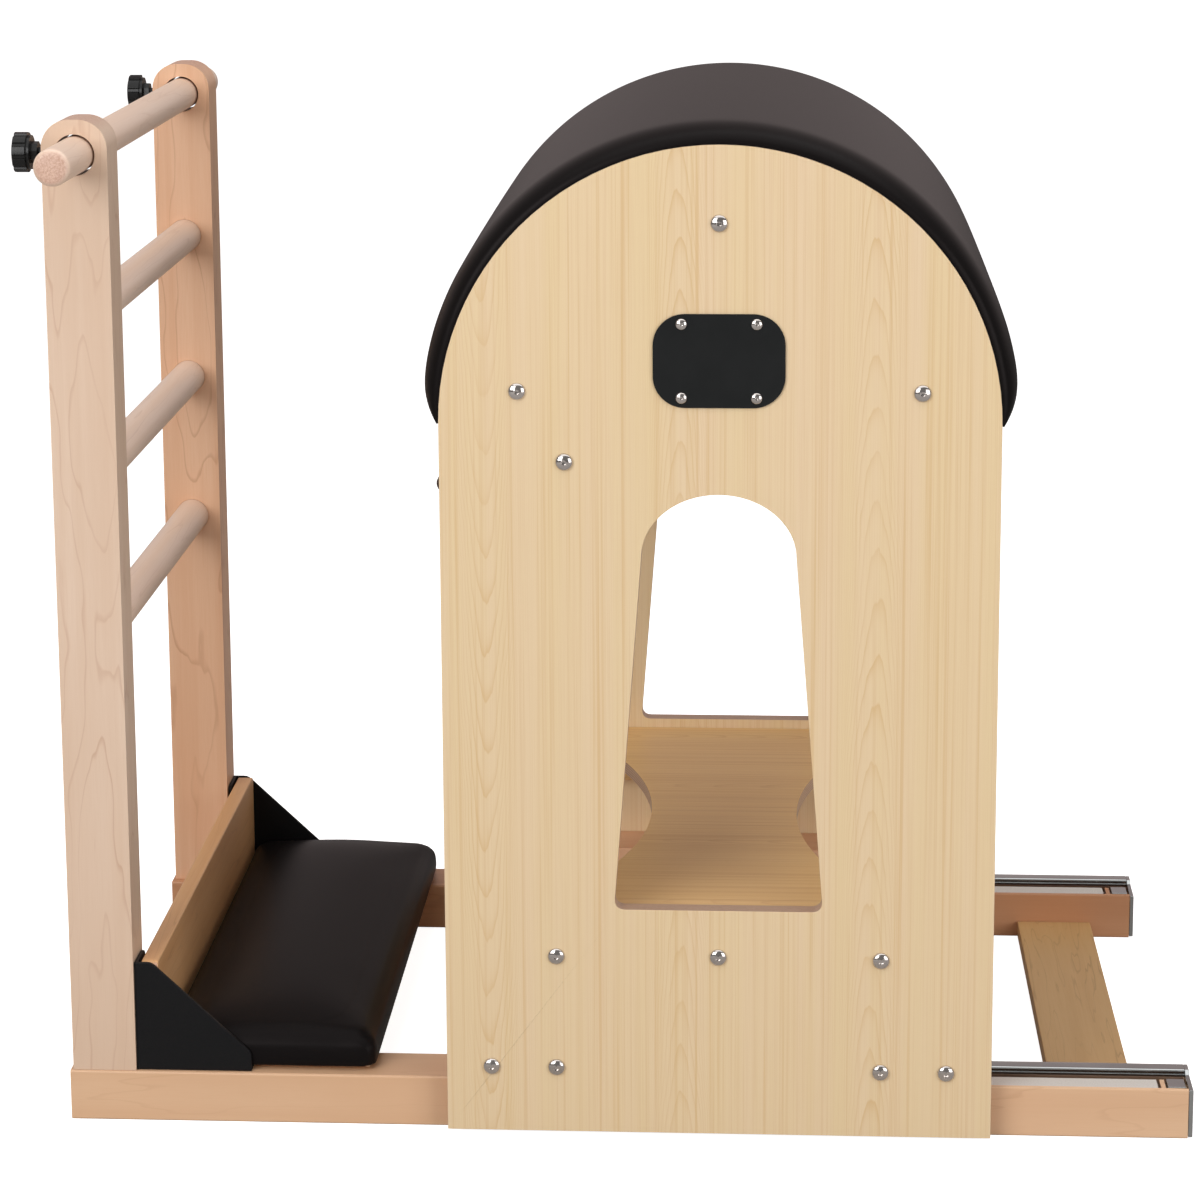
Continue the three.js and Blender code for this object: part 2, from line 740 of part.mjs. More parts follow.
function carriageBeam(side) {
  const wall = side.sign * (innerHalf - seatGap);
  const other = side.sign * (frameDepth / 2 - railWidth);
  const profile = roundedRect(Math.min(wall, other), beamFoot, Math.max(wall, other), beamTop, beamEdge);
  const body = alongX(profile, barrelX - beamHalf, barrelX + beamHalf);
  const pocketHalf = rollerWidth / 2 + runningGap;
  const middle = trackMiddle(side);
  const tools = [];
  axleReaches.forEach((reach) => {
    const x = barrelX + reach;
    const width = rollerRadius + pocketMargin;
    tools.push(box(x - width, x + width, middle - pocketHalf, middle + pocketHalf,
      beamFoot - pocketMargin, axleHeight + width));
    const bore = rodAlong("y", axleRadius + boreGap, -outerHalf, outerHalf, 14);
    tools.push(bore.translate(x, 0, axleHeight));
  });
  const rodBore = rodAlong("z", rodRadius + runningGap, beamFoot - pocketMargin, beamTop + pocketMargin, 14);
  tools.push(rodBore.translate(barrelX + rodReach, rodMiddle(side), 0));
  add("carriage_beam_" + side.name, cut(body, ...tools), maple);
}

function rollers(side) {
  const half = rollerWidth / 2;
  const bore = axleRadius + boreGap;
  const shoulder = rollerRadius - rollerEdge;
  const profile = [[bore, -half], [shoulder, -half], [rollerRadius, -half + rollerEdge],
    [rollerRadius, half - rollerEdge], [shoulder, half], [bore, half], [bore, -half]];
  axleReaches.forEach((reach, k) => {
    const geometry = lathe(profile, 24);
    geometry.translate(barrelX + reach, trackMiddle(side), axleHeight);
    add("roller_" + side.name + "_" + (k + 1), geometry, greyPlastic);
  });
}

// A button-head bolt along Y whose head is at the outer face of a panel.
function boltGeometry(side, tipY) {
  const face = outerHalf + seatGap;
  const length = face - side.sign * tipY;
  const socket = boltSocketRadius;
  const crown = boltHeadHeight;
  const profile = [[0, -length], [axleRadius, -length], [axleRadius, 0], [boltHeadRadius, 0],
    ...quarterTurn.slice(1).map((a) => [socket + (boltHeadRadius - socket) * Math.cos(a), crown * Math.sin(a)]),
    [socket, crown - boltSocketDepth], [0, crown - boltSocketDepth]];
  const geometry = lathe(profile, 14);
  geometry.translate(0, face, 0);
  if (side.sign < 0) geometry.rotateX(Math.PI);
  return geometry;
}

function axles(side) {
  const tip = side.sign * (Math.abs(trackMiddle(side)) - rollerWidth / 2 - axleRadius);
  axleReaches.forEach((reach, k) => {
    const bolt = boltGeometry(side, tip).translate(barrelX + reach, 0, axleHeight);
    add("axle_bolt_" + side.name + "_" + (k + 1), bolt, boltSteel);
  });
}

// Release paddle between the panels, its two pivot bolts and the rods it lifts out of the rail slots.
function releasePaddle() {
  const half = paddleThickness / 2;
  const dx = pivotReach - noseReach;
  const dz = pivotHeight - noseHeight;
  const tilt = Math.atan2(dz, dx);
  const normal = [-Math.sin(tilt) * half, Math.cos(tilt) * half];
  const tail = [barrelX + pivotReach + Math.cos(tilt) * paddleTail, pivotHeight + Math.sin(tilt) * paddleTail];
  const nose = [barrelX + noseReach, noseHeight];
  const shape = new THREE.Shape();
  shape.moveTo(tail[0] - normal[0], tail[1] - normal[1]);
  shape.absarc(tail[0], tail[1], half, tilt - Math.PI / 2, tilt + Math.PI / 2, false);
  shape.lineTo(nose[0] + normal[0], nose[1] + normal[1]);
  shape.absarc(nose[0], nose[1], half, tilt + Math.PI / 2, tilt + Math.PI * 1.5, false);
  const reach = innerHalf - runningGap * 2;
  const pivots = [-1, 1].map((sign) => {
    const hole = rodAlong("y", axleRadius + boreGap, reach - pivotPocket, reach + pivotPocket, 14);
    if (sign < 0) hole.rotateX(Math.PI);
    return hole.translate(barrelX + pivotReach, 0, pivotHeight);
  });
  const rods = sides.map((side) => {
    const hole = rodAlong("z", rodHoleRadius, noseHeight - paddleThickness, pivotHeight + paddleThickness, 18);
    return hole.translate(barrelX + rodReach, rodMiddle(side), 0);
  });
  add("release_paddle", cut(alongY(shape, -reach, reach, 8), ...pivots, ...rods), maple);
}

function pivotBolt(side) {
  const tip = side.sign * (innerHalf - pivotPocket + runningGap * 2);
  const bolt = boltGeometry(side, tip).translate(barrelX + pivotReach, 0, pivotHeight);
  add("pivot_bolt_" + side.name, bolt, boltSteel);
}

function lockRod(side) {
  const headFoot = rodTop - rodHeadHeight;
  const profile = [[0, rodTip], [rodRadius - rodTipBevel, rodTip], [rodRadius, rodTip + rodTipBevel],
    [rodRadius, headFoot], [rodHeadRadius, headFoot], [rodHeadRadius, rodTop], [0, rodTop]];
  const rod = lathe(profile, 16).rotateX(Math.PI / 2);
  add("lock_rod_" + side.name, rod.translate(barrelX + rodReach, rodMiddle(side), 0), brightSteel);
}

// Assembly
for (const side of sides) {
  baseRail(side);
  track(side);
  glideStrip(side);
  endStop(side);
  endPlate(side);
  ladderPost(side);
  clampKnob(side);
  gusset(side);
  sidePanel(side);
  shelfCleat(side);
  carriageBeam(side);
  rollers(side);
  axles(side);
  pivotBolt(side);
  lockRod(side);
}
crossBrace();
topBar();
["rung_upper", "rung_middle", "rung_lower"].forEach((name, k) => rung(k, name));
kickboard();
footCushion();
badgePlate();
barrelShell();
barrelPad();
stretcher("stretcher_top", barrelX, topStretcherHeight);
stretcher("stretcher_left", barrelX - sideStretcherReach, sideStretcherHeight);
stretcher("stretcher_right", barrelX + sideStretcherReach, sideStretcherHeight);
shelf();
releasePaddle();

export default group;
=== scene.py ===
"""Looks of a ladder barrel for pilates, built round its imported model: finishes, soft parts, light and camera.

Lengths are in metres in the model's frame: X runs from the ladder to the barrel, Y from front to rear, Z up.
"""

import math

import bmesh
import bpy
from mathutils import Matrix, Vector


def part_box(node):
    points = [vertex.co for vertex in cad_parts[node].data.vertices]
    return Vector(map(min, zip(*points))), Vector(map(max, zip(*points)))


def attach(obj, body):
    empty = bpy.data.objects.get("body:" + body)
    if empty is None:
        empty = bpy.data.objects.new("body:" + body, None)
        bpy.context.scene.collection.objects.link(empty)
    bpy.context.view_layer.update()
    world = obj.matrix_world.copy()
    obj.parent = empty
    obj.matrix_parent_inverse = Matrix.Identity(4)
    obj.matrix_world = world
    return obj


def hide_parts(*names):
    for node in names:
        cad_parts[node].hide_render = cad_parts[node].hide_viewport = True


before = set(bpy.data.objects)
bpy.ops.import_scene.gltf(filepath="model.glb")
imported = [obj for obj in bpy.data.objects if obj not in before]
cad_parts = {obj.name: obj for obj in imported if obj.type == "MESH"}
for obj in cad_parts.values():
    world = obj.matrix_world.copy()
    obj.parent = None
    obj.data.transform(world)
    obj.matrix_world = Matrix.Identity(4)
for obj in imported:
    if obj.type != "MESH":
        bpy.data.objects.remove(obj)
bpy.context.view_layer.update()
MM = 0.001

# Camera, as solved from the photograph's edges
CAMERA_PLACE = Vector((0.16853, -3.55695, 1.41067))
CAMERA_YAW = -0.057973
CAMERA_PITCH = -0.181277
CAMERA_ROLL = -0.00574
FOCAL_PIXELS = 3297.4
CENTRE_PIXEL = (589.76, 357.45)
PHOTO_PIXELS = 1200
SENSOR = 36
SIGHT = 200

# Brightness of the studio: its dim front, its middle, and the pale wall low down behind the object
FRONT_GLOW = 0.2
MIDDLE_GLOW = 0.36
WALL_GLOW = 0.22
ROOM_TINT = (1, 0.985, 0.97, 1)
WALL_TINT = (1, 0.84, 0.82, 1)
WHITE = (1, 1, 1, 1)

# Gaze directions between which the room, the wall and its tint come up (along Y) and the wall ends (along Z)
ROOM_SPAN = (-0.5, 0.6)
WALL_SPAN = (0.2, 0.9)
TINT_SPAN = (0.2, 0.6)
WALL_TOP = (0.12, 0.42)

# Lamps: place, point looked at, size, power in watts
LAMPS = {
    "key": ((-2.4, -3.6, 2.2), (0, 0, 0.5), (2.8, 2.4), 104),
    "fill": ((2.9, -3.0, 1.1), (0.2, 0, 0.4), (2.4, 2.0), 56),
    "top": ((0.3, -0.5, 3.6), (0.1, 0, 0.5), (5, 4), 74),
}
FLOOR_REACH = 40
FLOOR_GLOW = 0.9

# Fine edges and joints of the carried-over pieces
WELD = 0.01 * MM
FLAT_ANGLE = math.radians(1)
EDGE_ANGLE = math.radians(40)
SMOOTH_ANGLE = math.radians(32)
EDGE_SEGMENTS = 3
PANEL_EDGE = 1.5 * MM
SHELF_EDGE = 0.8 * MM
BOARD_EDGE = 0.6 * MM
BADGE_EDGE = 0.5 * MM
ROLLER_EDGE = 0.4 * MM

# Depth of the relief in each finish
WOOD_RELIEF = 0.08 * MM
VENEER_RELIEF = 0.05 * MM
LEATHER_RELIEF = 0.05 * MM
STEEL_RELIEF = 0.02 * MM
COAT_RELIEF = 0.12 * MM
PLASTIC_RELIEF = 0.05 * MM
FELT_RELIEF = 0.4 * MM

# Pressure that swells the soft parts, in how many frames, and how often the moves are evened out
SWELL_FRAMES = 20
SWELL_PRESSURE = 4
CALM_TURNS = 30

# Barrel pad: thickness, the roll along its edges, its thin tips, and what the swelling leaves alone
PAD_SEAT = 0.3 * MM
PAD_SIDE = 21 * MM
PAD_TOP = 19.6 * MM
PAD_ROLL = 48 * MM
PAD_ROLL_SHARE = 0.9
PAD_TAPER = 60 * MM
PAD_TIP = 1.5 * MM
PAD_CROWN = 0.5 * MM
PAD_SWELL = 1.6 * MM
PAD_HELD_DEPTH = 3 * MM
PAD_HELD_END = 2 * MM
PAD_STEPS = 84
PAD_TAPER_STEPS = 14
PAD_ARCH_STEPS = 150

# Foot cushion: crown and rounding of the top, its foot (inset and height in mm, with a seam at its waist),
# and the lip that wraps the board from below
CUSHION_SWELL = 7 * MM
CUSHION_GRID = 5 * MM
CUSHION_ROUND = 19 * MM
CUSHION_CROWN = 10 * MM
CUSHION_CROWN_POWER = 12
CUSHION_EDGE_DROP = 0.5 * MM
CUSHION_CORNER = 13 * MM
CUSHION_FOOT = ((1, 0.8), (0.4, 2.5), (1.2, 3.6), (0.3, 5), (0, 9))
CUSHION_GAP = 0.3 * MM
CUSHION_CEILING = (100 * MM, 60 * MM, 30 * MM)
CUSHION_HOLLOW_CORNER = 2 * MM
CUSHION_LIP = 1 * MM
CUSHION_LIP_CORNER = 3 * MM
CUSHION_SOLE = 3 * MM
CUSHION_SOLE_CORNER = 8 * MM
CUSHION_RIDGE = 1 * MM
CUSHION_STEPS = 11
LEAST_CORNER = 0.5 * MM
ROLL_STEPS = 10
CORNER_STEPS = 12
SIDE_STEPS = 24

# Bolts: head, shank and socket
BOLT_HEAD = 8.8 * MM
BOLT_CROWN = 4.6 * MM
BOLT_BRIM = 0.7 * MM
BOLT_EASE = 0.2 * MM
BOLT_SHANK = 4 * MM
BOLT_LENGTH = 24 * MM
BOLT_CHAMFER = 0.8 * MM
BOLT_TIP_SHARE = 0.8
BOLT_SEGMENTS = 48
AXLE_BOLT_SEAT = 0.3 * MM
PANEL_BOLT_SEAT = 0.05 * MM
HEX_APOTHEM = 2.2 * MM
HEX_DEPTH = 2.8 * MM
HEX_RIM = 0.05 * MM
HEX_EASE = 0.25 * MM
HEX_CONE = 0.4 * MM
HEX_RIM_SHARE = 1.1
HEX_LIMIT_SHARE = 1.05
POLE = 0.01 * MM

# Panel bolts' places in mm from the barrel's middle (x) and the floor (z), and the badge's screws
PANEL_BOLTS = ((0, 956), (-201, 787), (201, 787), (-166, 197.3), (0, 198.5), (166, 197.3))
SCREW_SHARE = 0.66
SCREW_LENGTH = 12 * MM
BADGE_SCREW_REACH = (37.3 * MM, 37.1 * MM)

# Top bar: the curve round its ends, and how finely it is cut
BAR_CURVE = 6.5 * MM
BAR_POLE = 0.1 * MM
BAR_STEPS = 12
BAR_SEGMENTS = 96

# Places read from the model
panel_low, panel_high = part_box("side_panel_front")
rear_low, rear_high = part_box("side_panel_rear")
badge_low, badge_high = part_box("badge_plate")
barrel_x = (panel_low.x + panel_high.x) / 2
barrel_radius = (panel_high.x - panel_low.x) / 2
spring_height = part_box("barrel_shell")[0].z


# Node trees
class Finish:
    """One material's node tree, with short calls for the nodes that the finishes need."""

    def __init__(self, name):
        self.material = bpy.data.materials.new(name)
        self.material.use_nodes = True
        self.tree = self.material.node_tree
        self.shader = self.tree.nodes["Principled BSDF"]
        self.place = self.node("ShaderNodeTexCoord").outputs["Object"]

    def node(self, kind, inputs=None, **settings):
        made = self.tree.nodes.new(kind)
        for name, value in settings.items():
            setattr(made, name, value)
        for key, value in (inputs or {}).items():
            self.feed(made.inputs[key], value)
        return made

    def feed(self, socket, value):
        if isinstance(value, bpy.types.NodeSocket):
            self.tree.links.new(value, socket)
        else:
            socket.default_value = value

    def calc(self, operation, *values):
        made = self.node("ShaderNodeMath", operation=operation)
        for socket, value in zip(made.inputs, values):
            self.feed(socket, value)
        return made.outputs[0]

    def axes(self, place=None):
        return self.node("ShaderNodeSeparateXYZ", {0: place or self.place}).outputs

    def scaled(self, factors):
        return self.node("ShaderNodeVectorMath", {0: self.place, 1: factors}, operation="MULTIPLY").outputs[0]

    def noise(self, factors, detail=2, roughness=0.5, shift=0):
        """Noise with as many swings per metre along x, y and z as the factors say."""
        return self.node("ShaderNodeTexNoise", {
            "Vector": self.scaled(factors), "W": shift, "Scale": 1.0, "Detail": detail,
            "Roughness": roughness}, noise_dimensions="4D").outputs[0]

    def remap(self, value, low, high, to_low=0.0, to_high=1.0, smooth=False):
        return self.node("ShaderNodeMapRange", {0: value, 1: low, 2: high, 3: to_low, 4: to_high},
                         interpolation_type="SMOOTHSTEP" if smooth else "LINEAR").outputs[0]

    def mix(self, factor, a, b):
        made = self.node("ShaderNodeMix", data_type="RGBA")
        for key, value in ((0, factor), (6, a), (7, b)):
            self.feed(made.inputs[key], value)
        return made.outputs[2]

    def facing(self, axis):
        """How squarely the surface faces along an axis, 0 to 1."""
        normal = self.node("ShaderNodeTexCoord").outputs["Normal"]
        return self.calc("ABSOLUTE", self.axes(normal)[axis])

    def bump(self, height, distance, strength=1.0):
        made = self.node("ShaderNodeBump", {"Strength": strength, "Distance": distance, "Height": height})
        self.feed(self.shader.inputs["Normal"], made.outputs[0])

    def set(self, **values):
        for name, value in values.items():
            self.feed(self.shader.inputs[name.replace("_", " ")], value)
        return self.material


def tone(red, green, blue):
    """A colour given as it looks on a screen, 0 to 255, in the linear values that shaders use."""
    return tuple((c / 255 / 12.92 if c < 10.3 else ((c / 255 + 0.055) / 1.055) ** 2.4)
                 for c in (red, green, blue)) + (1,)


# Kinds of maple: light, deep and line colours, then the growth lines' fineness across, number and strength
MAPLE = {
    "pale": (tone(229, 203, 181), tone(216, 184, 157), tone(180, 128, 96), 11, 14, 0.42),
    "warm": (tone(240, 198, 164), tone(222, 168, 128), tone(182, 122, 84), 11, 12, 0.48),
    "rail": (tone(234, 197, 161), tone(220, 176, 138), tone(186, 134, 96), 18, 9, 0.25),
    "russet": (tone(214, 160, 120), tone(190, 134, 94), tone(150, 98, 62), 18, 9, 0.3),
    "golden": (tone(218, 180, 124), tone(200, 158, 102), tone(150, 108, 62), 30, 14, 0.6),
    "amber": (tone(226, 178, 128), tone(206, 152, 100), tone(160, 108, 64), 26, 10, 0.4),
    # Dark brown maple for the release paddle
    "dark_brown": (tone(88, 56, 38), tone(68, 42, 28), tone(44, 26, 18), 18, 9, 0.3),
    "rod": (tone(246, 222, 204), tone(232, 200, 176), tone(190, 148, 120), 34, 8, 0.25),
}

# Solid wood: swings per metre along and across the grain, coat of varnish, and painted shade in the rails'
# grooves
WOOD_DRAW = 2.1
WOOD_PATCH = (3, 14)
WOOD_FIBRE = (22, 900)
WOOD_STREAK = (1.2, 70)
WOOD_CLOUD = (1.6, 8)
WOOD_PORES = (520, 520, 520)
WOOD_COAT = 0.3
VARNISH_ROUGHNESS = 0.3
END_GRAIN = tone(190, 144, 124)
GROOVE_SHADE_SHARE = 0.85
GROOVE_SHADE = tone(74, 50, 38)
GROOVE_LIP = 0.7 * MM

# Colours of the panels' veneer, of the plywood's layers with their thickness and specks, and of the shelf
VENEER_PINK = tone(232, 206, 171)
VENEER_YELLOW = tone(231, 206, 164)
VENEER_TAN = tone(217, 181, 130)
PLY_LIGHT = tone(205, 172, 146)
PLY_DARK = tone(146, 104, 82)
PLY_LAYER = 1.45 * MM
PLY_SPECKS = (500, 260)
SHELF_PINK = tone(250, 208, 144)
SHELF_YELLOW = tone(248, 204, 138)
SHELF_TAN = tone(226, 174, 112)


def along_first(axis, along, across):
    """Factors for x, y and z that differ along one axis."""
    return tuple(along if k == axis else across for k in range(3))


def solid_wood(name, axis, seed, kind, groove=None):
    """Solid maple: sparse thin growth lines that wander like contours, drawn out along the grain.

    The groove, where given, is the box inside which the wood is darkened with painted shade.
    """
    light, deep, ink, across, turns, lines = MAPLE[kind]
    f = Finish(name)
    level = f.noise(along_first(axis, WOOD_DRAW, across), detail=3.5, roughness=0.45, shift=seed)
    share = f.calc("FRACT", f.calc("MULTIPLY", level, turns))
    rise = f.remap(share, 0.86, 0.97, smooth=True)
    fall = f.remap(share, 0.97, 1.0, 1.0, 0.0)
    strength = f.remap(f.noise(along_first(axis, *WOOD_PATCH), shift=seed + 5), 0.35, 0.65, 0.05, lines)
    line = f.calc("MULTIPLY", f.calc("MULTIPLY", rise, fall), strength)
    fibre = f.noise(along_first(axis, *WOOD_FIBRE), detail=4, roughness=0.65, shift=seed)
    streak = f.noise(along_first(axis, *WOOD_STREAK), detail=3, shift=seed + 7)
    cloud = f.noise(along_first(axis, *WOOD_CLOUD), detail=3, shift=seed + 2)
    body = f.mix(f.remap(cloud, 0.3, 0.72), light, deep)
    body = f.mix(f.remap(streak, 0.45, 0.7, 0.0, 0.6), body, deep)
    body = f.mix(f.remap(fibre, 0.45, 0.8, 0.0, 0.5), body, deep)
    body = f.mix(line, body, ink)
    end = f.remap(f.facing(axis), 0.6, 0.98, 0.0, 0.9)
    pores = f.noise(WOOD_PORES, detail=4, roughness=0.75, shift=seed)
    end = f.calc("MULTIPLY", end, f.remap(pores, 0.35, 0.6, 0.25, 1.0))
    body = f.mix(end, body, ink if kind == "dark_brown" else END_GRAIN)
    # Painted shade: wood inside the groove box, deeper than the lip, is darkened towards a dark brown
    if groove:
        low, high = groove
        inside = [f.calc("COMPARE", place, (a + b) / 2, (b - a) / 2)
                  for place, a, b in zip(f.axes(), low, high)]
        painted_shade = f.calc("MULTIPLY", inside[0], f.calc("MULTIPLY", inside[1], inside[2]))
        body = f.mix(f.calc("MULTIPLY", painted_shade, GROOVE_SHADE_SHARE), body, GROOVE_SHADE)
    f.set(Base_Color=body, Roughness=f.remap(fibre, 0.2, 0.8, 0.42, 0.55), Coat_Weight=WOOD_COAT,
          Coat_Roughness=VARNISH_ROUGHNESS)
    f.bump(f.calc("ADD", fibre, f.calc("MULTIPLY", line, -0.6)), WOOD_RELIEF, 0.4)
    return f.material


def ply_edge(f, axis, foot):
    """Colour of the layers on a sheet's cut edge, stacked along the axis."""
    layer = f.calc("DIVIDE", f.calc("SUBTRACT", f.axes()[axis], foot), PLY_LAYER)
    odd = f.calc("GREATER_THAN", f.calc("FRACT", f.calc("MULTIPLY", layer, 0.5)), 0.5)
    glue = f.remap(f.calc("PINGPONG", layer, 0.5), 0.0, 0.12, 1.0, 0.0)
    speck = f.noise(along_first(axis, *PLY_SPECKS), detail=3)
    colour = f.mix(f.calc("MULTIPLY", odd, f.remap(speck, 0.3, 0.7, 0.35, 0.75)), PLY_LIGHT, PLY_DARK)
    return f.mix(f.calc("MULTIPLY", glue, 0.5), colour, PLY_DARK)


# Veneer leaves: where the first starts, their width, how they waver, and the figure's sizes within a leaf
LEAF_START = -222 * MM
LEAF = 195 * MM
LEAF_WANDER = 9 * MM
LEAF_RIPPLE = 3 * MM
ARCH_HALF = 12 * MM
ARCH_RISE = 45 * MM
ARCH_PITCH = 52 * MM
ARCH_WAVE = 24 * MM
ARCH_FADE = (16 * MM, 40 * MM)

# Veneer: swings per metre along and across the grain, and its thin coat of varnish
VENEER_WANDER = (1.8, 0.4)
VENEER_RIPPLE = (9, 30)
VENEER_WAVE = (6, 45)
VENEER_PATCH = (4, 20)
VENEER_BAND = (0.6, 40)
VENEER_STRAIGHT = (0.9, 230)
VENEER_FINE = (5, 900)
VENEER_COAT = 0.2


def veneer(name, along, across, thickness, foot, seed, start=LEAF_START, pink=VENEER_PINK,
           yellow=VENEER_YELLOW, tan=VENEER_TAN):
    """Veneered plywood: leaves side by side, each a column of narrow arches between fine straight lines."""
    f = Finish(name)
    xyz = f.axes()
    wander = f.remap(f.noise(along_first(along, *VENEER_WANDER), shift=seed), 0.2, 0.8,
                     -LEAF_WANDER, LEAF_WANDER)
    ripple = f.remap(f.noise(along_first(along, *VENEER_RIPPLE), detail=3, shift=seed + 2), 0.2, 0.8,
                     -LEAF_RIPPLE, LEAF_RIPPLE)
    side = f.calc("ADD", xyz[across], wander)
    count = f.calc("DIVIDE", f.calc("SUBTRACT", side, start), LEAF)
    index = f.calc("FLOOR", count)
    local = f.calc("MULTIPLY", f.calc("SUBTRACT", f.calc("FRACT", count), 0.5), LEAF)
    reach = f.calc("ABSOLUTE", f.calc("ADD", local, ripple))
    steep = f.calc("MULTIPLY", f.calc("POWER", f.calc("DIVIDE", reach, ARCH_HALF), 2.3), ARCH_RISE)
    upward = f.remap(f.calc("GREATER_THAN", index, 0.5), 0, 1, -1, 1)
    wave = f.remap(f.noise(along_first(along, *VENEER_WAVE), detail=4, shift=seed + 3), 0.2, 0.8,
                   -ARCH_WAVE, ARCH_WAVE)
    climb = f.calc("ADD", f.calc("MULTIPLY", xyz[along], upward), f.calc("ADD", steep, wave))
    share = f.calc("FRACT", f.calc("DIVIDE", climb, ARCH_PITCH))
    shade = f.calc("POWER", f.remap(share, 0.35, 0.95), 3.0)
    line = f.calc("MULTIPLY", shade, f.remap(share, 0.95, 1.0, 1.0, 0.0))
    line = f.calc("MULTIPLY", line, f.remap(reach, *ARCH_FADE, 0.75, 0.15))
    patch = f.remap(f.noise(along_first(along, *VENEER_PATCH), shift=seed + 4), 0.3, 0.6, 0.25, 1.0)
    line = f.calc("MULTIPLY", line, patch)
    band = f.noise(along_first(along, *VENEER_BAND), detail=4, shift=seed + 8)
    straight = f.noise(along_first(along, *VENEER_STRAIGHT), detail=4, roughness=0.7, shift=seed + 9)
    fine = f.noise(along_first(along, *VENEER_FINE), detail=3, roughness=0.6, shift=seed)
    body = f.mix(f.remap(band, 0.35, 0.65), pink, yellow)
    body = f.mix(f.remap(straight, 0.5, 0.66, 0.0, 0.7), body, tan)
    body = f.mix(f.remap(fine, 0.45, 0.75, 0.0, 0.35), body, tan)
    body = f.mix(line, body, tan)
    edge = f.remap(f.facing(thickness), 0.35, 0.75, 1.0, 0.0)
    f.set(Base_Color=f.mix(edge, body, ply_edge(f, thickness, foot)),
          Roughness=f.remap(fine, 0.2, 0.8, 0.4, 0.5), Coat_Weight=VENEER_COAT,
          Coat_Roughness=VARNISH_ROUGHNESS)
    f.bump(fine, VENEER_RELIEF, 0.4)
    return f.material


# Colours of leather, steel, coating, plastics, felt and floor, and how glossy four of them are
LEATHER_DARK = (0.0056, 0.0048, 0.0048, 1)
LEATHER_CLOUD = (0.0070, 0.0060, 0.0060, 1)
LEATHER_PORE = (0.0074, 0.0062, 0.0062, 1)
LEATHER_SHINE = (1, 0.88, 0.88, 1)
LEATHER_GLOSS = 0.07
COAT_GLOSS = 0.2
KNOB_GLOSS = 0.35
BADGE_GLOSS = 0.25
TRACK_STEEL = (0.56, 0.58, 0.58, 1)
ROD_STEEL = (0.5, 0.48, 0.47, 1)
BOLT_STEEL = (0.7, 0.65, 0.62, 1)
COAT_DARK = (0.0045, 0.0045, 0.0052, 1)
COAT_PALE = (0.0070, 0.0070, 0.0078, 1)
KNOB_DARK = (0.0045, 0.0045, 0.0045, 1)
KNOB_PALE = (0.0065, 0.0065, 0.0065, 1)
BADGE_DARK = (0.0085, 0.0095, 0.0100, 1)
BADGE_PALE = (0.0110, 0.0120, 0.0125, 1)
ROLLER_DARK = tone(104, 106, 108)
ROLLER_PALE = tone(124, 126, 127)
FELT_PALE = tone(228, 222, 215)
FELT_DARK = tone(196, 187, 178)
FELT_WORN = tone(148, 128, 112)
FLOOR_PALE = (0.92, 0.92, 0.92, 1)
FLOOR_DARK = (0.9, 0.9, 0.9, 1)
FLOOR_BOUNCE = (0.42, 0.41, 0.4, 1)


def leatherette():
    f = Finish("leatherette")
    cells = f.node("ShaderNodeTexVoronoi", {"Vector": f.place, "Scale": 900.0, "Randomness": 1.0},
                   feature="SMOOTH_F1").outputs["Distance"]
    pores = f.noise((2600, 2600, 2600), detail=2)
    cloud = f.noise((14, 14, 14), detail=3)
    grain = f.calc("ADD", f.calc("MULTIPLY", cells, 0.7), f.calc("MULTIPLY", pores, 0.3))
    colour = f.mix(f.remap(cloud, 0.3, 0.7), LEATHER_DARK, LEATHER_CLOUD)
    f.set(Base_Color=f.mix(f.remap(grain, 0.2, 0.7), colour, LEATHER_PORE),
          Roughness=f.remap(grain, 0.2, 0.7, 0.36, 0.38), Specular_IOR_Level=LEATHER_GLOSS,
          Specular_Tint=LEATHER_SHINE)
    f.bump(grain, LEATHER_RELIEF, 0.25)
    return f.material


def polished_steel(name, axis, colour, low, high):
    """Drawn steel with fine streaks along one axis."""
    f = Finish(name)
    streak = f.noise(along_first(axis, 4, 1600), detail=3, roughness=0.7)
    cloud = f.noise((20, 20, 20), detail=2)
    f.set(Base_Color=f.mix(f.remap(cloud, 0.3, 0.7), colour, tuple(c * 0.86 for c in colour[:3]) + (1,)),
          Metallic=1.0, Roughness=f.remap(streak, 0.25, 0.75, low, high))
    f.bump(streak, STEEL_RELIEF, 0.4)
    return f.material


def powder_coat():
    f = Finish("powder_coat")
    peel = f.noise((520, 520, 520), detail=3)
    f.set(Base_Color=f.mix(f.remap(peel, 0.35, 0.65), COAT_DARK, COAT_PALE),
          Roughness=f.remap(peel, 0.3, 0.7, 0.42, 0.56), Specular_IOR_Level=COAT_GLOSS)
    f.bump(peel, COAT_RELIEF, 0.35)
    return f.material


def moulded_plastic(name, dark, pale, low, high, scale=1400, gloss=0.5):
    f = Finish(name)
    grain = f.noise((scale, scale, scale), detail=3)
    cloud = f.noise((30, 30, 30), detail=2)
    f.set(Base_Color=f.mix(f.remap(cloud, 0.3, 0.7), dark, pale),
          Roughness=f.remap(grain, 0.3, 0.7, low, high), Specular_IOR_Level=gloss)
    f.bump(grain, PLASTIC_RELIEF, 0.4)
    return f.material


def felt_strip():
    """White felt laid in the rails' grooves, a little worn along its length."""
    f = Finish("felt_strip")
    fuzz = f.noise((700, 900, 900), detail=5, roughness=0.7)
    wear = f.noise((45, 160, 160), detail=4, roughness=0.7)
    body = f.mix(f.remap(fuzz, 0.3, 0.7), FELT_PALE, FELT_DARK)
    f.set(Base_Color=f.mix(f.remap(wear, 0.6, 0.8, 0.0, 0.5), body, FELT_WORN), Roughness=0.85,
          Sheen_Weight=0.3)
    f.bump(fuzz, FELT_RELIEF, 0.7)
    return f.material


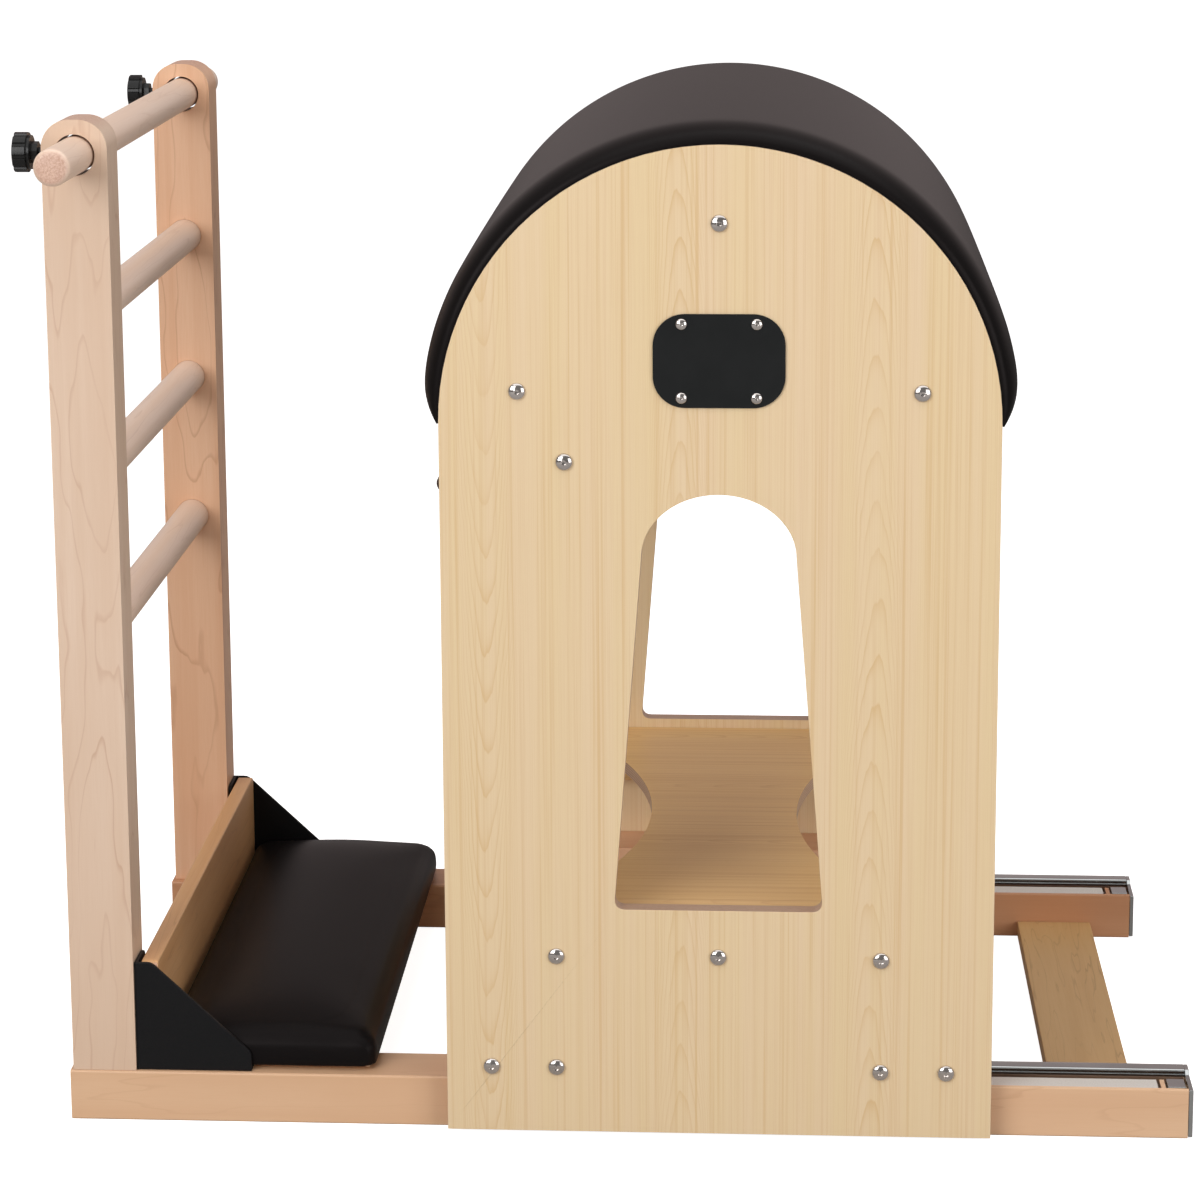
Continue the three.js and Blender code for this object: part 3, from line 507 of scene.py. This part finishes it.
# Meshes
def new_piece(name, vertices, faces, material, body=None):
    """A smooth mesh, sharp where its faces fold, that rides on the body if one is given."""
    mesh = bpy.data.meshes.new(name)
    mesh.from_pydata([tuple(v) for v in vertices], [], faces)
    mesh.validate()
    mesh.materials.append(material)
    piece = bpy.data.objects.new(name, mesh)
    bpy.context.scene.collection.objects.link(piece)
    tidy = bmesh.new()
    tidy.from_mesh(mesh)
    bmesh.ops.recalc_face_normals(tidy, faces=tidy.faces)
    for face in tidy.faces:
        face.smooth = True
    for edge in tidy.edges:
        edge.smooth = not edge.is_manifold or edge.calc_face_angle(0) < SMOOTH_ANGLE
    tidy.to_mesh(mesh)
    tidy.free()
    if body:
        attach(piece, body)
    return piece


def lofted(rings):
    """Vertices and faces through rings that have the same count, with a cap on the first and the last."""
    count = len(rings[0])
    vertices = [p for ring in rings for p in ring]
    faces = []
    for i in range(len(rings) - 1):
        here = i * count
        there = here + count
        for j in range(count):
            k = (j + 1) % count
            faces.append((here + j, here + k, there + k, there + j))
    faces.append(tuple(range(count)))
    faces.append(tuple(len(vertices) - count + j for j in range(count)))
    return vertices, faces


def turned(profile, axis, centre, segments, outline=None):
    """Rings turned round an axis through the centre. The profile lists (radius, place along the axis)."""
    across = [k for k in range(3) if k != axis]
    rings = []
    for radius, along in profile:
        ring = []
        for j in range(segments):
            angle = 2 * math.pi * j / segments
            reach = outline(radius, angle) if outline else radius
            point = Vector(centre)
            point[axis] += along
            point[across[0]] += reach * math.cos(angle)
            point[across[1]] += reach * math.sin(angle)
            ring.append(point)
        rings.append(ring)
    return lofted(rings)


def quarter(steps):
    """Angles from 0 to a quarter turn."""
    return [math.pi / 2 * k / steps for k in range(steps + 1)]


# Fine edges on carried-over pieces
def node_group(name, build):
    group = bpy.data.node_groups.new(name, "GeometryNodeTree")
    group.interface.new_socket("Geometry", in_out="INPUT", socket_type="NodeSocketGeometry")
    group.interface.new_socket("Geometry", in_out="OUTPUT", socket_type="NodeSocketGeometry")
    start = group.nodes.new("NodeGroupInput").outputs[0]
    end = group.nodes.new("NodeGroupOutput").inputs[0]
    group.links.new(build(group, start), end)
    return group


def weld_steps(group, geometry):
    plain = group.nodes.new("GeometryNodeRemoveAttribute")
    plain.inputs["Name"].default_value = "custom_normal"
    group.links.new(geometry, plain.inputs[0])
    weld = group.nodes.new("GeometryNodeMergeByDistance")
    weld.inputs["Distance"].default_value = WELD
    group.links.new(plain.outputs[0], weld.inputs[0])
    return weld.outputs[0]


def smooth_steps(group, geometry):
    """Smooth shading everywhere but on edges sharper than the smooth angle."""
    angle = group.nodes.new("GeometryNodeInputMeshEdgeAngle")
    sharp = group.nodes.new("FunctionNodeCompare")
    sharp.operation = "GREATER_THAN"
    sharp.inputs[1].default_value = SMOOTH_ANGLE
    group.links.new(angle.outputs[0], sharp.inputs[0])
    for domain, smooth, selection in (("FACE", True, None), ("EDGE", True, None), ("EDGE", False, sharp)):
        step = group.nodes.new("GeometryNodeSetShadeSmooth")
        step.domain = domain
        step.inputs["Shade Smooth"].default_value = smooth
        if selection:
            group.links.new(selection.outputs[0], step.inputs["Selection"])
        group.links.new(geometry, step.inputs[0])
        geometry = step.outputs[0]
    return geometry


weld_group = node_group("weld", weld_steps)
smooth_group = node_group("smooth_by_angle", smooth_steps)


def fine_edges(node, width):
    """Rounds a carried-over piece's sharp edges a little and shades its round faces smooth."""
    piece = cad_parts[node]
    piece.modifiers.new("weld", "NODES").node_group = weld_group
    flat = piece.modifiers.new("flat", "DECIMATE")
    flat.decimate_type = "DISSOLVE"
    flat.angle_limit = FLAT_ANGLE
    bevel = piece.modifiers.new("bevel", "BEVEL")
    bevel.width = width
    bevel.segments = EDGE_SEGMENTS
    bevel.limit_method = "ANGLE"
    bevel.angle_limit = EDGE_ANGLE
    piece.modifiers.new("smooth", "NODES").node_group = smooth_group
    piece.modifiers.new("weighted", "WEIGHTED_NORMAL").keep_sharp = True


def paint(node, material):
    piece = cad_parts[node]
    for slot in piece.material_slots:
        slot.material = material


# Wooden pieces: grain axis, edge width in mm, kind of maple
WOODEN = {
    "base_rail_front": (0, 1.2, "rail"), "base_rail_rear": (0, 1.2, "russet"),
    "cross_brace": (1, 1.2, "golden"),
    "ladder_post_front": (2, 2.6, "pale"), "ladder_post_rear": (2, 2.6, "warm"),
    "rung_upper": (1, 0.8, "rod"), "rung_middle": (1, 0.8, "rod"), "rung_lower": (1, 0.8, "rod"),
    "kickboard": (1, 1.6, "amber"),
    "shelf_cleat_front": (0, 1, "golden"), "shelf_cleat_rear": (0, 1, "golden"),
    "carriage_beam_front": (0, 1, "warm"), "carriage_beam_rear": (0, 1, "warm"),
    "stretcher_top": (1, 1, "warm"), "stretcher_left": (1, 1, "warm"), "stretcher_right": (1, 1, "warm"),
    "release_paddle": (1, 1.6, "dark_brown"), "barrel_shell": (1, 0.6, "golden"),
}


def wooden_pieces():
    for number, (node, (axis, edge, kind)) in enumerate(WOODEN.items()):
        groove = None
        # The rails' groove box, inside which the wood gets painted shade
        if node.startswith("base_rail"):
            low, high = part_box(node)
            lip = Vector((GROOVE_LIP, GROOVE_LIP, GROOVE_LIP))
            groove = (low + lip, high - lip)
        paint(node, solid_wood("maple_" + node, axis, 1.7 * number, kind, groove))
        fine_edges(node, edge * MM)


def panels_and_shelf():
    for node, low in (("side_panel_front", panel_low), ("side_panel_rear", rear_low)):
        paint(node, veneer("veneer_" + node, 2, 0, 1, low.y, 3 if node.endswith("front") else 5))
        fine_edges(node, PANEL_EDGE)
    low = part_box("shelf")[0]
    paint("shelf", veneer("veneer_shelf", 0, 1, 2, low.z, 9, 0, SHELF_PINK, SHELF_YELLOW, SHELF_TAN))
    fine_edges("shelf", SHELF_EDGE)
    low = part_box("foot_cushion_board")[0]
    paint("foot_cushion_board", veneer("veneer_board", 1, 0, 2, low.z, 7))
    fine_edges("foot_cushion_board", BOARD_EDGE)


# Soft parts
def swell(piece, limit, held, grid=None):
    """Blows the piece up as cloth under pressure and evens out its creases.

    Held points stay, and the farthest point moves by the limit. A grid size remeshes the piece first and
    subdivides it afterwards.
    """
    even = piece.data
    if grid:
        remesh = piece.modifiers.new("grid", "REMESH")
        remesh.mode = "VOXEL"
        remesh.voxel_size = grid
        even = bpy.data.meshes.new_from_object(piece.evaluated_get(bpy.context.evaluated_depsgraph_get()))
        piece.modifiers.clear()
        piece.data = even
    start = [v.co.copy() for v in even.vertices]
    fixed = piece.vertex_groups.new(name="held")
    fixed.add([v.index for v in even.vertices if held(v.co)], 1.0, "REPLACE")
    cloth = piece.modifiers.new("cloth", "CLOTH")
    cloth.settings.use_pressure = True
    cloth.settings.uniform_pressure_force = SWELL_PRESSURE
    cloth.settings.effector_weights.gravity = 0
    cloth.settings.vertex_group_mass = fixed.name
    cloth.point_cache.frame_end = SWELL_FRAMES
    for number in range(1, SWELL_FRAMES + 1):
        bpy.context.scene.frame_set(number)
    blown = piece.evaluated_get(bpy.context.evaluated_depsgraph_get()).to_mesh()
    moves = [after.co - before for before, after in zip(start, blown.vertices)]
    loose = [v.index for v in even.vertices if not v.groups]
    near = [[] for v in even.vertices]
    for edge in even.edges:
        a, b = edge.vertices
        near[a].append(b)
        near[b].append(a)
    for turn in range(CALM_TURNS):
        calmer = list(moves)
        for k in loose:
            calmer[k] = sum((moves[j] for j in near[k]), moves[k]) / (len(near[k]) + 1)
        moves = calmer
    share = min(1, limit / max(move.length for move in moves))
    for vertex, before, move in zip(even.vertices, start, moves):
        vertex.co = before + move * share
    piece.modifiers.clear()
    piece.vertex_groups.clear()
    bpy.context.scene.frame_set(1)
    for face in even.polygons:
        face.use_smooth = True
    if grid:
        piece.modifiers.new("finer", "SUBSURF").levels = 1
    even.update()


def barrel_pad(leather):
    """The bent pad over the barrel: thin at both tips, rounded along its front and rear edges."""
    inner = barrel_radius + PAD_SEAT
    half = rear_high.y
    taper = PAD_TAPER / barrel_radius
    stations = [taper * k / PAD_TAPER_STEPS for k in range(PAD_TAPER_STEPS)]
    stations += [taper + (math.pi - 2 * taper) * k / PAD_ARCH_STEPS for k in range(PAD_ARCH_STEPS + 1)]
    stations += [math.pi - taper * k / PAD_TAPER_STEPS for k in reversed(range(PAD_TAPER_STEPS))]
    rings = []
    for angle in stations:
        near = min(angle, math.pi - angle) / taper
        share = 1 - (1 - min(near, 1)) ** 3
        full = PAD_TOP + (PAD_SIDE - PAD_TOP) * math.cos(angle) ** 2
        outer = inner + PAD_TIP + (full - PAD_TIP) * share
        rings.append(pad_section(angle, inner, outer, half, share))
    pad = new_piece("barrel_pad_leather", *lofted(rings), leather)

    def held(point):
        reach = math.hypot(point.x - barrel_x, max(point.z - spring_height, 0))
        low_down = point.z - spring_height < PAD_TAPER / 2
        return low_down or reach < inner + PAD_HELD_DEPTH or abs(point.y) > half - PAD_HELD_END

    swell(pad, PAD_SWELL, held)
    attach(pad, "barrel_carriage")
    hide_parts("barrel_pad")


def pad_section(angle, inner, outer, half, share):
    """The pad's outline at one angle of the arch. The share is 1 on the full pad and 0 at its tips."""
    ring = []

    def place(y, radius):
        ring.append((barrel_x + radius * math.cos(angle), y, spring_height + radius * math.sin(angle)))

    crown = PAD_CROWN * share
    edge = PAD_ROLL_SHARE * (outer - crown - inner)
    depth = PAD_ROLL * share
    for k in range(PAD_STEPS + 1):
        place(half * (1 - 2 * k / PAD_STEPS), inner)
    for a in quarter(ROLL_STEPS):
        place(-half + depth * (1 - math.cos(a)), outer - crown - edge + edge * math.sin(a))
    for k in range(1, PAD_STEPS):
        y = (half - depth) * (2 * k / PAD_STEPS - 1)
        place(y, outer - crown * (y / half) ** 2)
    for a in reversed(quarter(ROLL_STEPS)):
        place(half - depth * (1 - math.cos(a)), outer - crown - edge + edge * math.sin(a))
    return ring


def rounded_ring(low, high, inset, radius, height):
    """Points of a rounded rectangle inside a box's outline, each as high as the height rule says."""
    x0, y0 = low.x + inset, low.y + inset
    x1, y1 = high.x - inset, high.y - inset
    radius = max(radius, LEAST_CORNER)
    corners = ((x1 - radius, y0 + radius, -90), (x1 - radius, y1 - radius, 0),
               (x0 + radius, y1 - radius, 90), (x0 + radius, y0 + radius, 180))
    points = []
    for k, (cx, cy, start) in enumerate(corners):
        for step in range(CORNER_STEPS + 1):
            a = math.radians(start + 90 * step / CORNER_STEPS)
            points.append((cx + radius * math.cos(a), cy + radius * math.sin(a)))
        nx, ny, turn = corners[(k + 1) % 4]
        a = math.radians(turn)
        end = (nx + radius * math.cos(a), ny + radius * math.sin(a))
        begin = points[-1]
        for step in range(1, SIDE_STEPS):
            share = step / SIDE_STEPS
            points.append((begin[0] + (end[0] - begin[0]) * share, begin[1] + (end[1] - begin[1]) * share))
    return [(x, y, height(x, y)) for x, y in points]


def level_at(z):
    """The height rule of a level ring."""
    return lambda x, y: z


def foot_cushion(leather):
    """The step's cushion: crowned, rounded along its edges, wrapped round its board from below."""
    low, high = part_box("foot_cushion")
    board_low, board_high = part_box("foot_cushion_board")
    middle = (low + high) / 2
    half = (high - low) / 2
    top = high.z - CUSHION_EDGE_DROP
    ceiling = level_at(board_high.z + CUSHION_GAP)
    hollow = board_low.x - low.x - CUSHION_GAP

    def crowned(base, share):
        def height(x, y):
            u = (x - middle.x) / half.x
            v = (y - middle.y) / half.y
            return base + CUSHION_CROWN * share * (1 - u * u) * (1 - v ** CUSHION_CROWN_POWER)
        return height

    rings = []
    for inset in CUSHION_CEILING + (hollow,):
        rings.append(rounded_ring(low, high, inset, CUSHION_HOLLOW_CORNER, ceiling))
    rings.append(rounded_ring(low, high, hollow, CUSHION_HOLLOW_CORNER, level_at(low.z + CUSHION_LIP)))
    rings.append(rounded_ring(low, high, hollow - CUSHION_LIP, CUSHION_LIP_CORNER, level_at(low.z)))
    rings.append(rounded_ring(low, high, CUSHION_SOLE, CUSHION_SOLE_CORNER, level_at(low.z)))
    for inset, z in CUSHION_FOOT:
        rings.append(rounded_ring(low, high, inset * MM, CUSHION_CORNER, level_at(low.z + z * MM)))
    for a in quarter(ROLL_STEPS):
        inset = CUSHION_ROUND * (1 - math.cos(a))
        base = top - CUSHION_ROUND + CUSHION_ROUND * math.sin(a)
        rings.append(rounded_ring(low, high, inset, CUSHION_CORNER, crowned(base, math.sin(a) ** 2)))
    for k in range(1, CUSHION_STEPS + 1):
        inset = CUSHION_ROUND + (half.x - CUSHION_ROUND - CUSHION_RIDGE) * k / CUSHION_STEPS
        corner = CUSHION_CORNER * (1 - k / CUSHION_STEPS)
        rings.append(rounded_ring(low, high, inset, corner, crowned(top, 1)))
    cushion = new_piece("foot_cushion_leather", *lofted(rings), leather)
    swell(cushion, CUSHION_SWELL, lambda point: point.z < board_high.z, CUSHION_GRID)
    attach(cushion, "base_frame")
    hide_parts("foot_cushion")


# Bolts
def hexagon(radius, angle):
    """The outline of the socket: a hexagon up to its corner radius, a circle beyond."""
    if radius > HEX_APOTHEM * HEX_LIMIT_SHARE:
        return radius
    turn = (angle + math.pi / 6) % (math.pi / 3) - math.pi / 6
    return radius / math.cos(turn)


def bolt(name, place, side, tip, material, body, scale=1.0):
    """A button-head bolt with a hex socket, on a face that looks to the front (side -1) or the rear (1)."""
    head, crown = BOLT_HEAD * scale, BOLT_CROWN * scale
    socket, depth, shank = HEX_APOTHEM * scale, HEX_DEPTH * scale, BOLT_SHANK * scale
    brim = BOLT_BRIM * scale
    profile = [(POLE, tip), (shank * BOLT_TIP_SHARE, tip), (shank, tip + BOLT_CHAMFER * scale), (shank, 0),
               (head - BOLT_EASE, 0), (head, BOLT_EASE), (head, brim)]
    for a in quarter(CORNER_STEPS)[1:-2]:
        profile.append((head * math.cos(a), brim + (crown - brim) * math.sin(a)))
    top = profile[-1][1]
    profile += [(socket * HEX_RIM_SHARE, top + HEX_RIM), (socket, top - HEX_EASE), (socket, top - depth),
                (POLE, top - depth - HEX_CONE)]
    rings = turned([(r, side * y) for r, y in profile], 1, place, BOLT_SEGMENTS,
                   lambda radius, angle: hexagon(radius / scale, angle) * scale)
    return new_piece(name, *rings, material, body)


def bolts(steel):
    """Turned bolts in the place of the model's axle and pivot bolts, and the panels' and the badge's own."""
    for node in sorted(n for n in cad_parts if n.startswith(("axle_bolt", "pivot_bolt"))):
        low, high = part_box(node)
        side = -1 if node.startswith(("axle_bolt_front", "pivot_bolt_front")) else 1
        face = side * (rear_high.y + AXLE_BOLT_SEAT)
        place = ((low.x + high.x) / 2, face, (low.z + high.z) / 2)
        length = high.y - low.y - BOLT_CROWN
        piece = bolt(node + "_turned", place, side, -length, steel, "barrel_carriage")
        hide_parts(node)
    for side, label in ((-1, "front"), (1, "rear")):
        for number, (x, z) in enumerate(PANEL_BOLTS, 1):
            place = (barrel_x + x * MM, side * (rear_high.y + PANEL_BOLT_SEAT), z * MM)
            piece = bolt(f"panel_bolt_{label}_{number}", place, side, -BOLT_LENGTH, steel, "barrel_carriage")
    middle = (badge_low + badge_high) / 2
    for number, (sx, sz) in enumerate(((-1, -1), (-1, 1), (1, -1), (1, 1)), 1):
        place = (middle.x + sx * BADGE_SCREW_REACH[0], badge_low.y, middle.z + sz * BADGE_SCREW_REACH[1])
        piece = bolt(f"badge_screw_{number}", place, -1, -SCREW_LENGTH, steel, "barrel_carriage", SCREW_SHARE)


def top_bar():
    """The top bar, turned with curved ends."""
    low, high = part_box("top_bar")
    centre = (low + high) / 2
    radius = (high.x - low.x) / 2
    half = (high.y - low.y) / 2
    curves = quarter(BAR_STEPS)[1:]
    profile = [(BAR_POLE, -half)]
    for a in curves:
        reach = radius - BAR_CURVE + BAR_CURVE * math.sin(a)
        profile.append((reach, -half + BAR_CURVE - BAR_CURVE * math.cos(a)))
    for k in range(1, 2 * BAR_STEPS):
        profile.append((radius, (half - BAR_CURVE) * (k / BAR_STEPS - 1)))
    for a in reversed(curves):
        reach = radius - BAR_CURVE + BAR_CURVE * math.sin(a)
        profile.append((reach, half - BAR_CURVE + BAR_CURVE * math.cos(a)))
    profile.append((BAR_POLE, half))
    wood = solid_wood("maple_top_bar", 1, 31.0, "rod")
    bar = new_piece("top_bar_turned", *turned(profile, 1, centre, BAR_SEGMENTS), wood, "top_bar")
    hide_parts("top_bar")


# Steel, felt and plastic pieces
def hardware():
    """Finishes and edge widths in mm of the steel, felt and plastic pieces."""
    track = polished_steel("track_steel", 0, TRACK_STEEL, 0.1, 0.22)
    rod = polished_steel("rod_steel", 2, ROD_STEEL, 0.2, 0.34)
    coat = powder_coat()
    felt = felt_strip()
    knob = moulded_plastic("black_plastic", KNOB_DARK, KNOB_PALE, 0.22, 0.32, gloss=KNOB_GLOSS)
    roller = moulded_plastic("grey_plastic", ROLLER_DARK, ROLLER_PALE, 0.4, 0.55)
    badge = moulded_plastic("badge_plastic", BADGE_DARK, BADGE_PALE, 0.34, 0.42, 600, BADGE_GLOSS)
    for label in ("front", "rear"):
        for node, material, edge in (
                ("track_", track, 0.4), ("end_stop_", track, 0.5), ("end_plate_", track, 0.6),
                ("gusset_", coat, 0.8), ("glide_strip_", felt, 0.6), ("clamp_knob_", knob, 0.5),
                ("lock_rod_", rod, 0.4)):
            paint(node + label, material)
            fine_edges(node + label, edge * MM)
        for number in range(1, 5):
            node = f"roller_{label}_{number}"
            paint(node, roller)
            fine_edges(node, ROLLER_EDGE)
    paint("badge_plate", badge)
    fine_edges("badge_plate", BADGE_EDGE)


# Stage
def floor():
    """A floor that looks white to the camera, keeps the shadows, and throws little light back."""
    f = Finish("floor_white")
    cloud = f.noise((0.7, 0.7, 0.7), detail=2)
    seen = f.node("ShaderNodeLightPath").outputs["Is Camera Ray"]
    white = f.mix(f.remap(cloud, 0.3, 0.7), FLOOR_PALE, FLOOR_DARK)
    f.set(Base_Color=f.mix(seen, FLOOR_BOUNCE, white), Roughness=0.9, Specular_IOR_Level=0.0,
          Emission_Color=WHITE, Emission_Strength=f.calc("MULTIPLY", seen, FLOOR_GLOW))
    corners = [(FLOOR_REACH * x, FLOOR_REACH * y, 0) for x, y in ((-1, -1), (1, -1), (1, 1), (-1, 1))]
    mesh = bpy.data.meshes.new("floor")
    mesh.from_pydata(corners, [], [(0, 1, 2, 3)])
    mesh.materials.append(f.material)
    ground = bpy.data.objects.new("floor", mesh)
    bpy.context.scene.collection.objects.link(ground)


def lamp(name, place, target, size, power):
    """A rectangular lamp that looks at a point."""
    light = bpy.data.lights.new(name, "AREA")
    light.shape = "RECTANGLE"
    light.size, light.size_y = size
    light.energy = power
    holder = bpy.data.objects.new(name, light)
    holder.location = place
    holder.rotation_mode = "QUATERNION"
    holder.rotation_quaternion = (Vector(target) - Vector(place)).to_track_quat("-Z", "Y")
    bpy.context.scene.collection.objects.link(holder)


def lights():
    """The studio: a dim room, a pale wall behind, white where the camera looks past the part, and lamps."""
    world = bpy.data.worlds.new("studio")
    world.use_nodes = True
    tree = world.node_tree
    parts = tree.nodes.new("ShaderNodeSeparateXYZ")
    tree.links.new(tree.nodes.new("ShaderNodeTexCoord").outputs["Generated"], parts.inputs[0])

    def ramp(value, *limits):
        made = tree.nodes.new("ShaderNodeMapRange")
        for socket, limit in zip(made.inputs[1:5], limits):
            socket.default_value = limit
        tree.links.new(value, made.inputs[0])
        return made.outputs[0]

    def calc(operation, a, b):
        made = tree.nodes.new("ShaderNodeMath")
        made.operation = operation
        tree.links.new(a, made.inputs[0])
        tree.links.new(b, made.inputs[1])
        return made.outputs[0]

    def blend(factor, second):
        made = tree.nodes.new("ShaderNodeMix")
        made.data_type = "RGBA"
        made.inputs[7].default_value = second
        tree.links.new(factor, made.inputs[0])
        return made

    depth, rise = parts.outputs[1:3]
    room = ramp(depth, *ROOM_SPAN, FRONT_GLOW, MIDDLE_GLOW)
    wall = calc("MULTIPLY", ramp(depth, *WALL_SPAN, 0, 1), ramp(rise, *WALL_TOP, WALL_GLOW, 0))
    seen = tree.nodes.new("ShaderNodeLightPath").outputs["Is Camera Ray"]
    tint = blend(ramp(depth, *TINT_SPAN, 0, 1), WALL_TINT)
    tint.inputs[6].default_value = ROOM_TINT
    backdrop = blend(seen, WHITE)
    tree.links.new(tint.outputs[2], backdrop.inputs[6])
    tree.links.new(backdrop.outputs[2], tree.nodes["Background"].inputs[0])
    tree.links.new(calc("MAXIMUM", calc("ADD", room, wall), seen), tree.nodes["Background"].inputs[1])
    bpy.context.scene.world = world
    for name, values in LAMPS.items():
        lamp(name, *values)


def camera():
    """The photograph's view: its main axis, its roll, and its middle off the picture's middle."""
    flat = math.cos(CAMERA_PITCH)
    forward = Vector((math.sin(CAMERA_YAW) * flat, math.cos(CAMERA_YAW) * flat, math.sin(CAMERA_PITCH)))
    level = Vector((math.cos(CAMERA_YAW), -math.sin(CAMERA_YAW), 0))
    upward = level.cross(forward)
    right = level * math.cos(CAMERA_ROLL) + upward * math.sin(CAMERA_ROLL)
    up = upward * math.cos(CAMERA_ROLL) - level * math.sin(CAMERA_ROLL)
    data = bpy.data.cameras.new("camera")
    data.sensor_width = SENSOR
    data.lens = FOCAL_PIXELS / PHOTO_PIXELS * SENSOR
    data.shift_x = 0.5 - CENTRE_PIXEL[0] / PHOTO_PIXELS
    data.shift_y = CENTRE_PIXEL[1] / PHOTO_PIXELS - 0.5
    data.clip_end = SIGHT
    holder = bpy.data.objects.new("camera", data)
    turn = Matrix((right, up, -forward)).transposed().to_4x4()
    holder.matrix_world = Matrix.Translation(CAMERA_PLACE) @ turn
    bpy.context.scene.collection.objects.link(holder)
    bpy.context.scene.camera = holder


# The whole scene
wooden_pieces()
panels_and_shelf()
hardware()
leather_finish = leatherette()
barrel_pad(leather_finish)
foot_cushion(leather_finish)
bolts(polished_steel("bolt_steel_look", 1, BOLT_STEEL, 0.1, 0.18))
top_bar()
floor()
lights()
camera()
bpy.context.scene.view_settings.view_transform = "Standard"
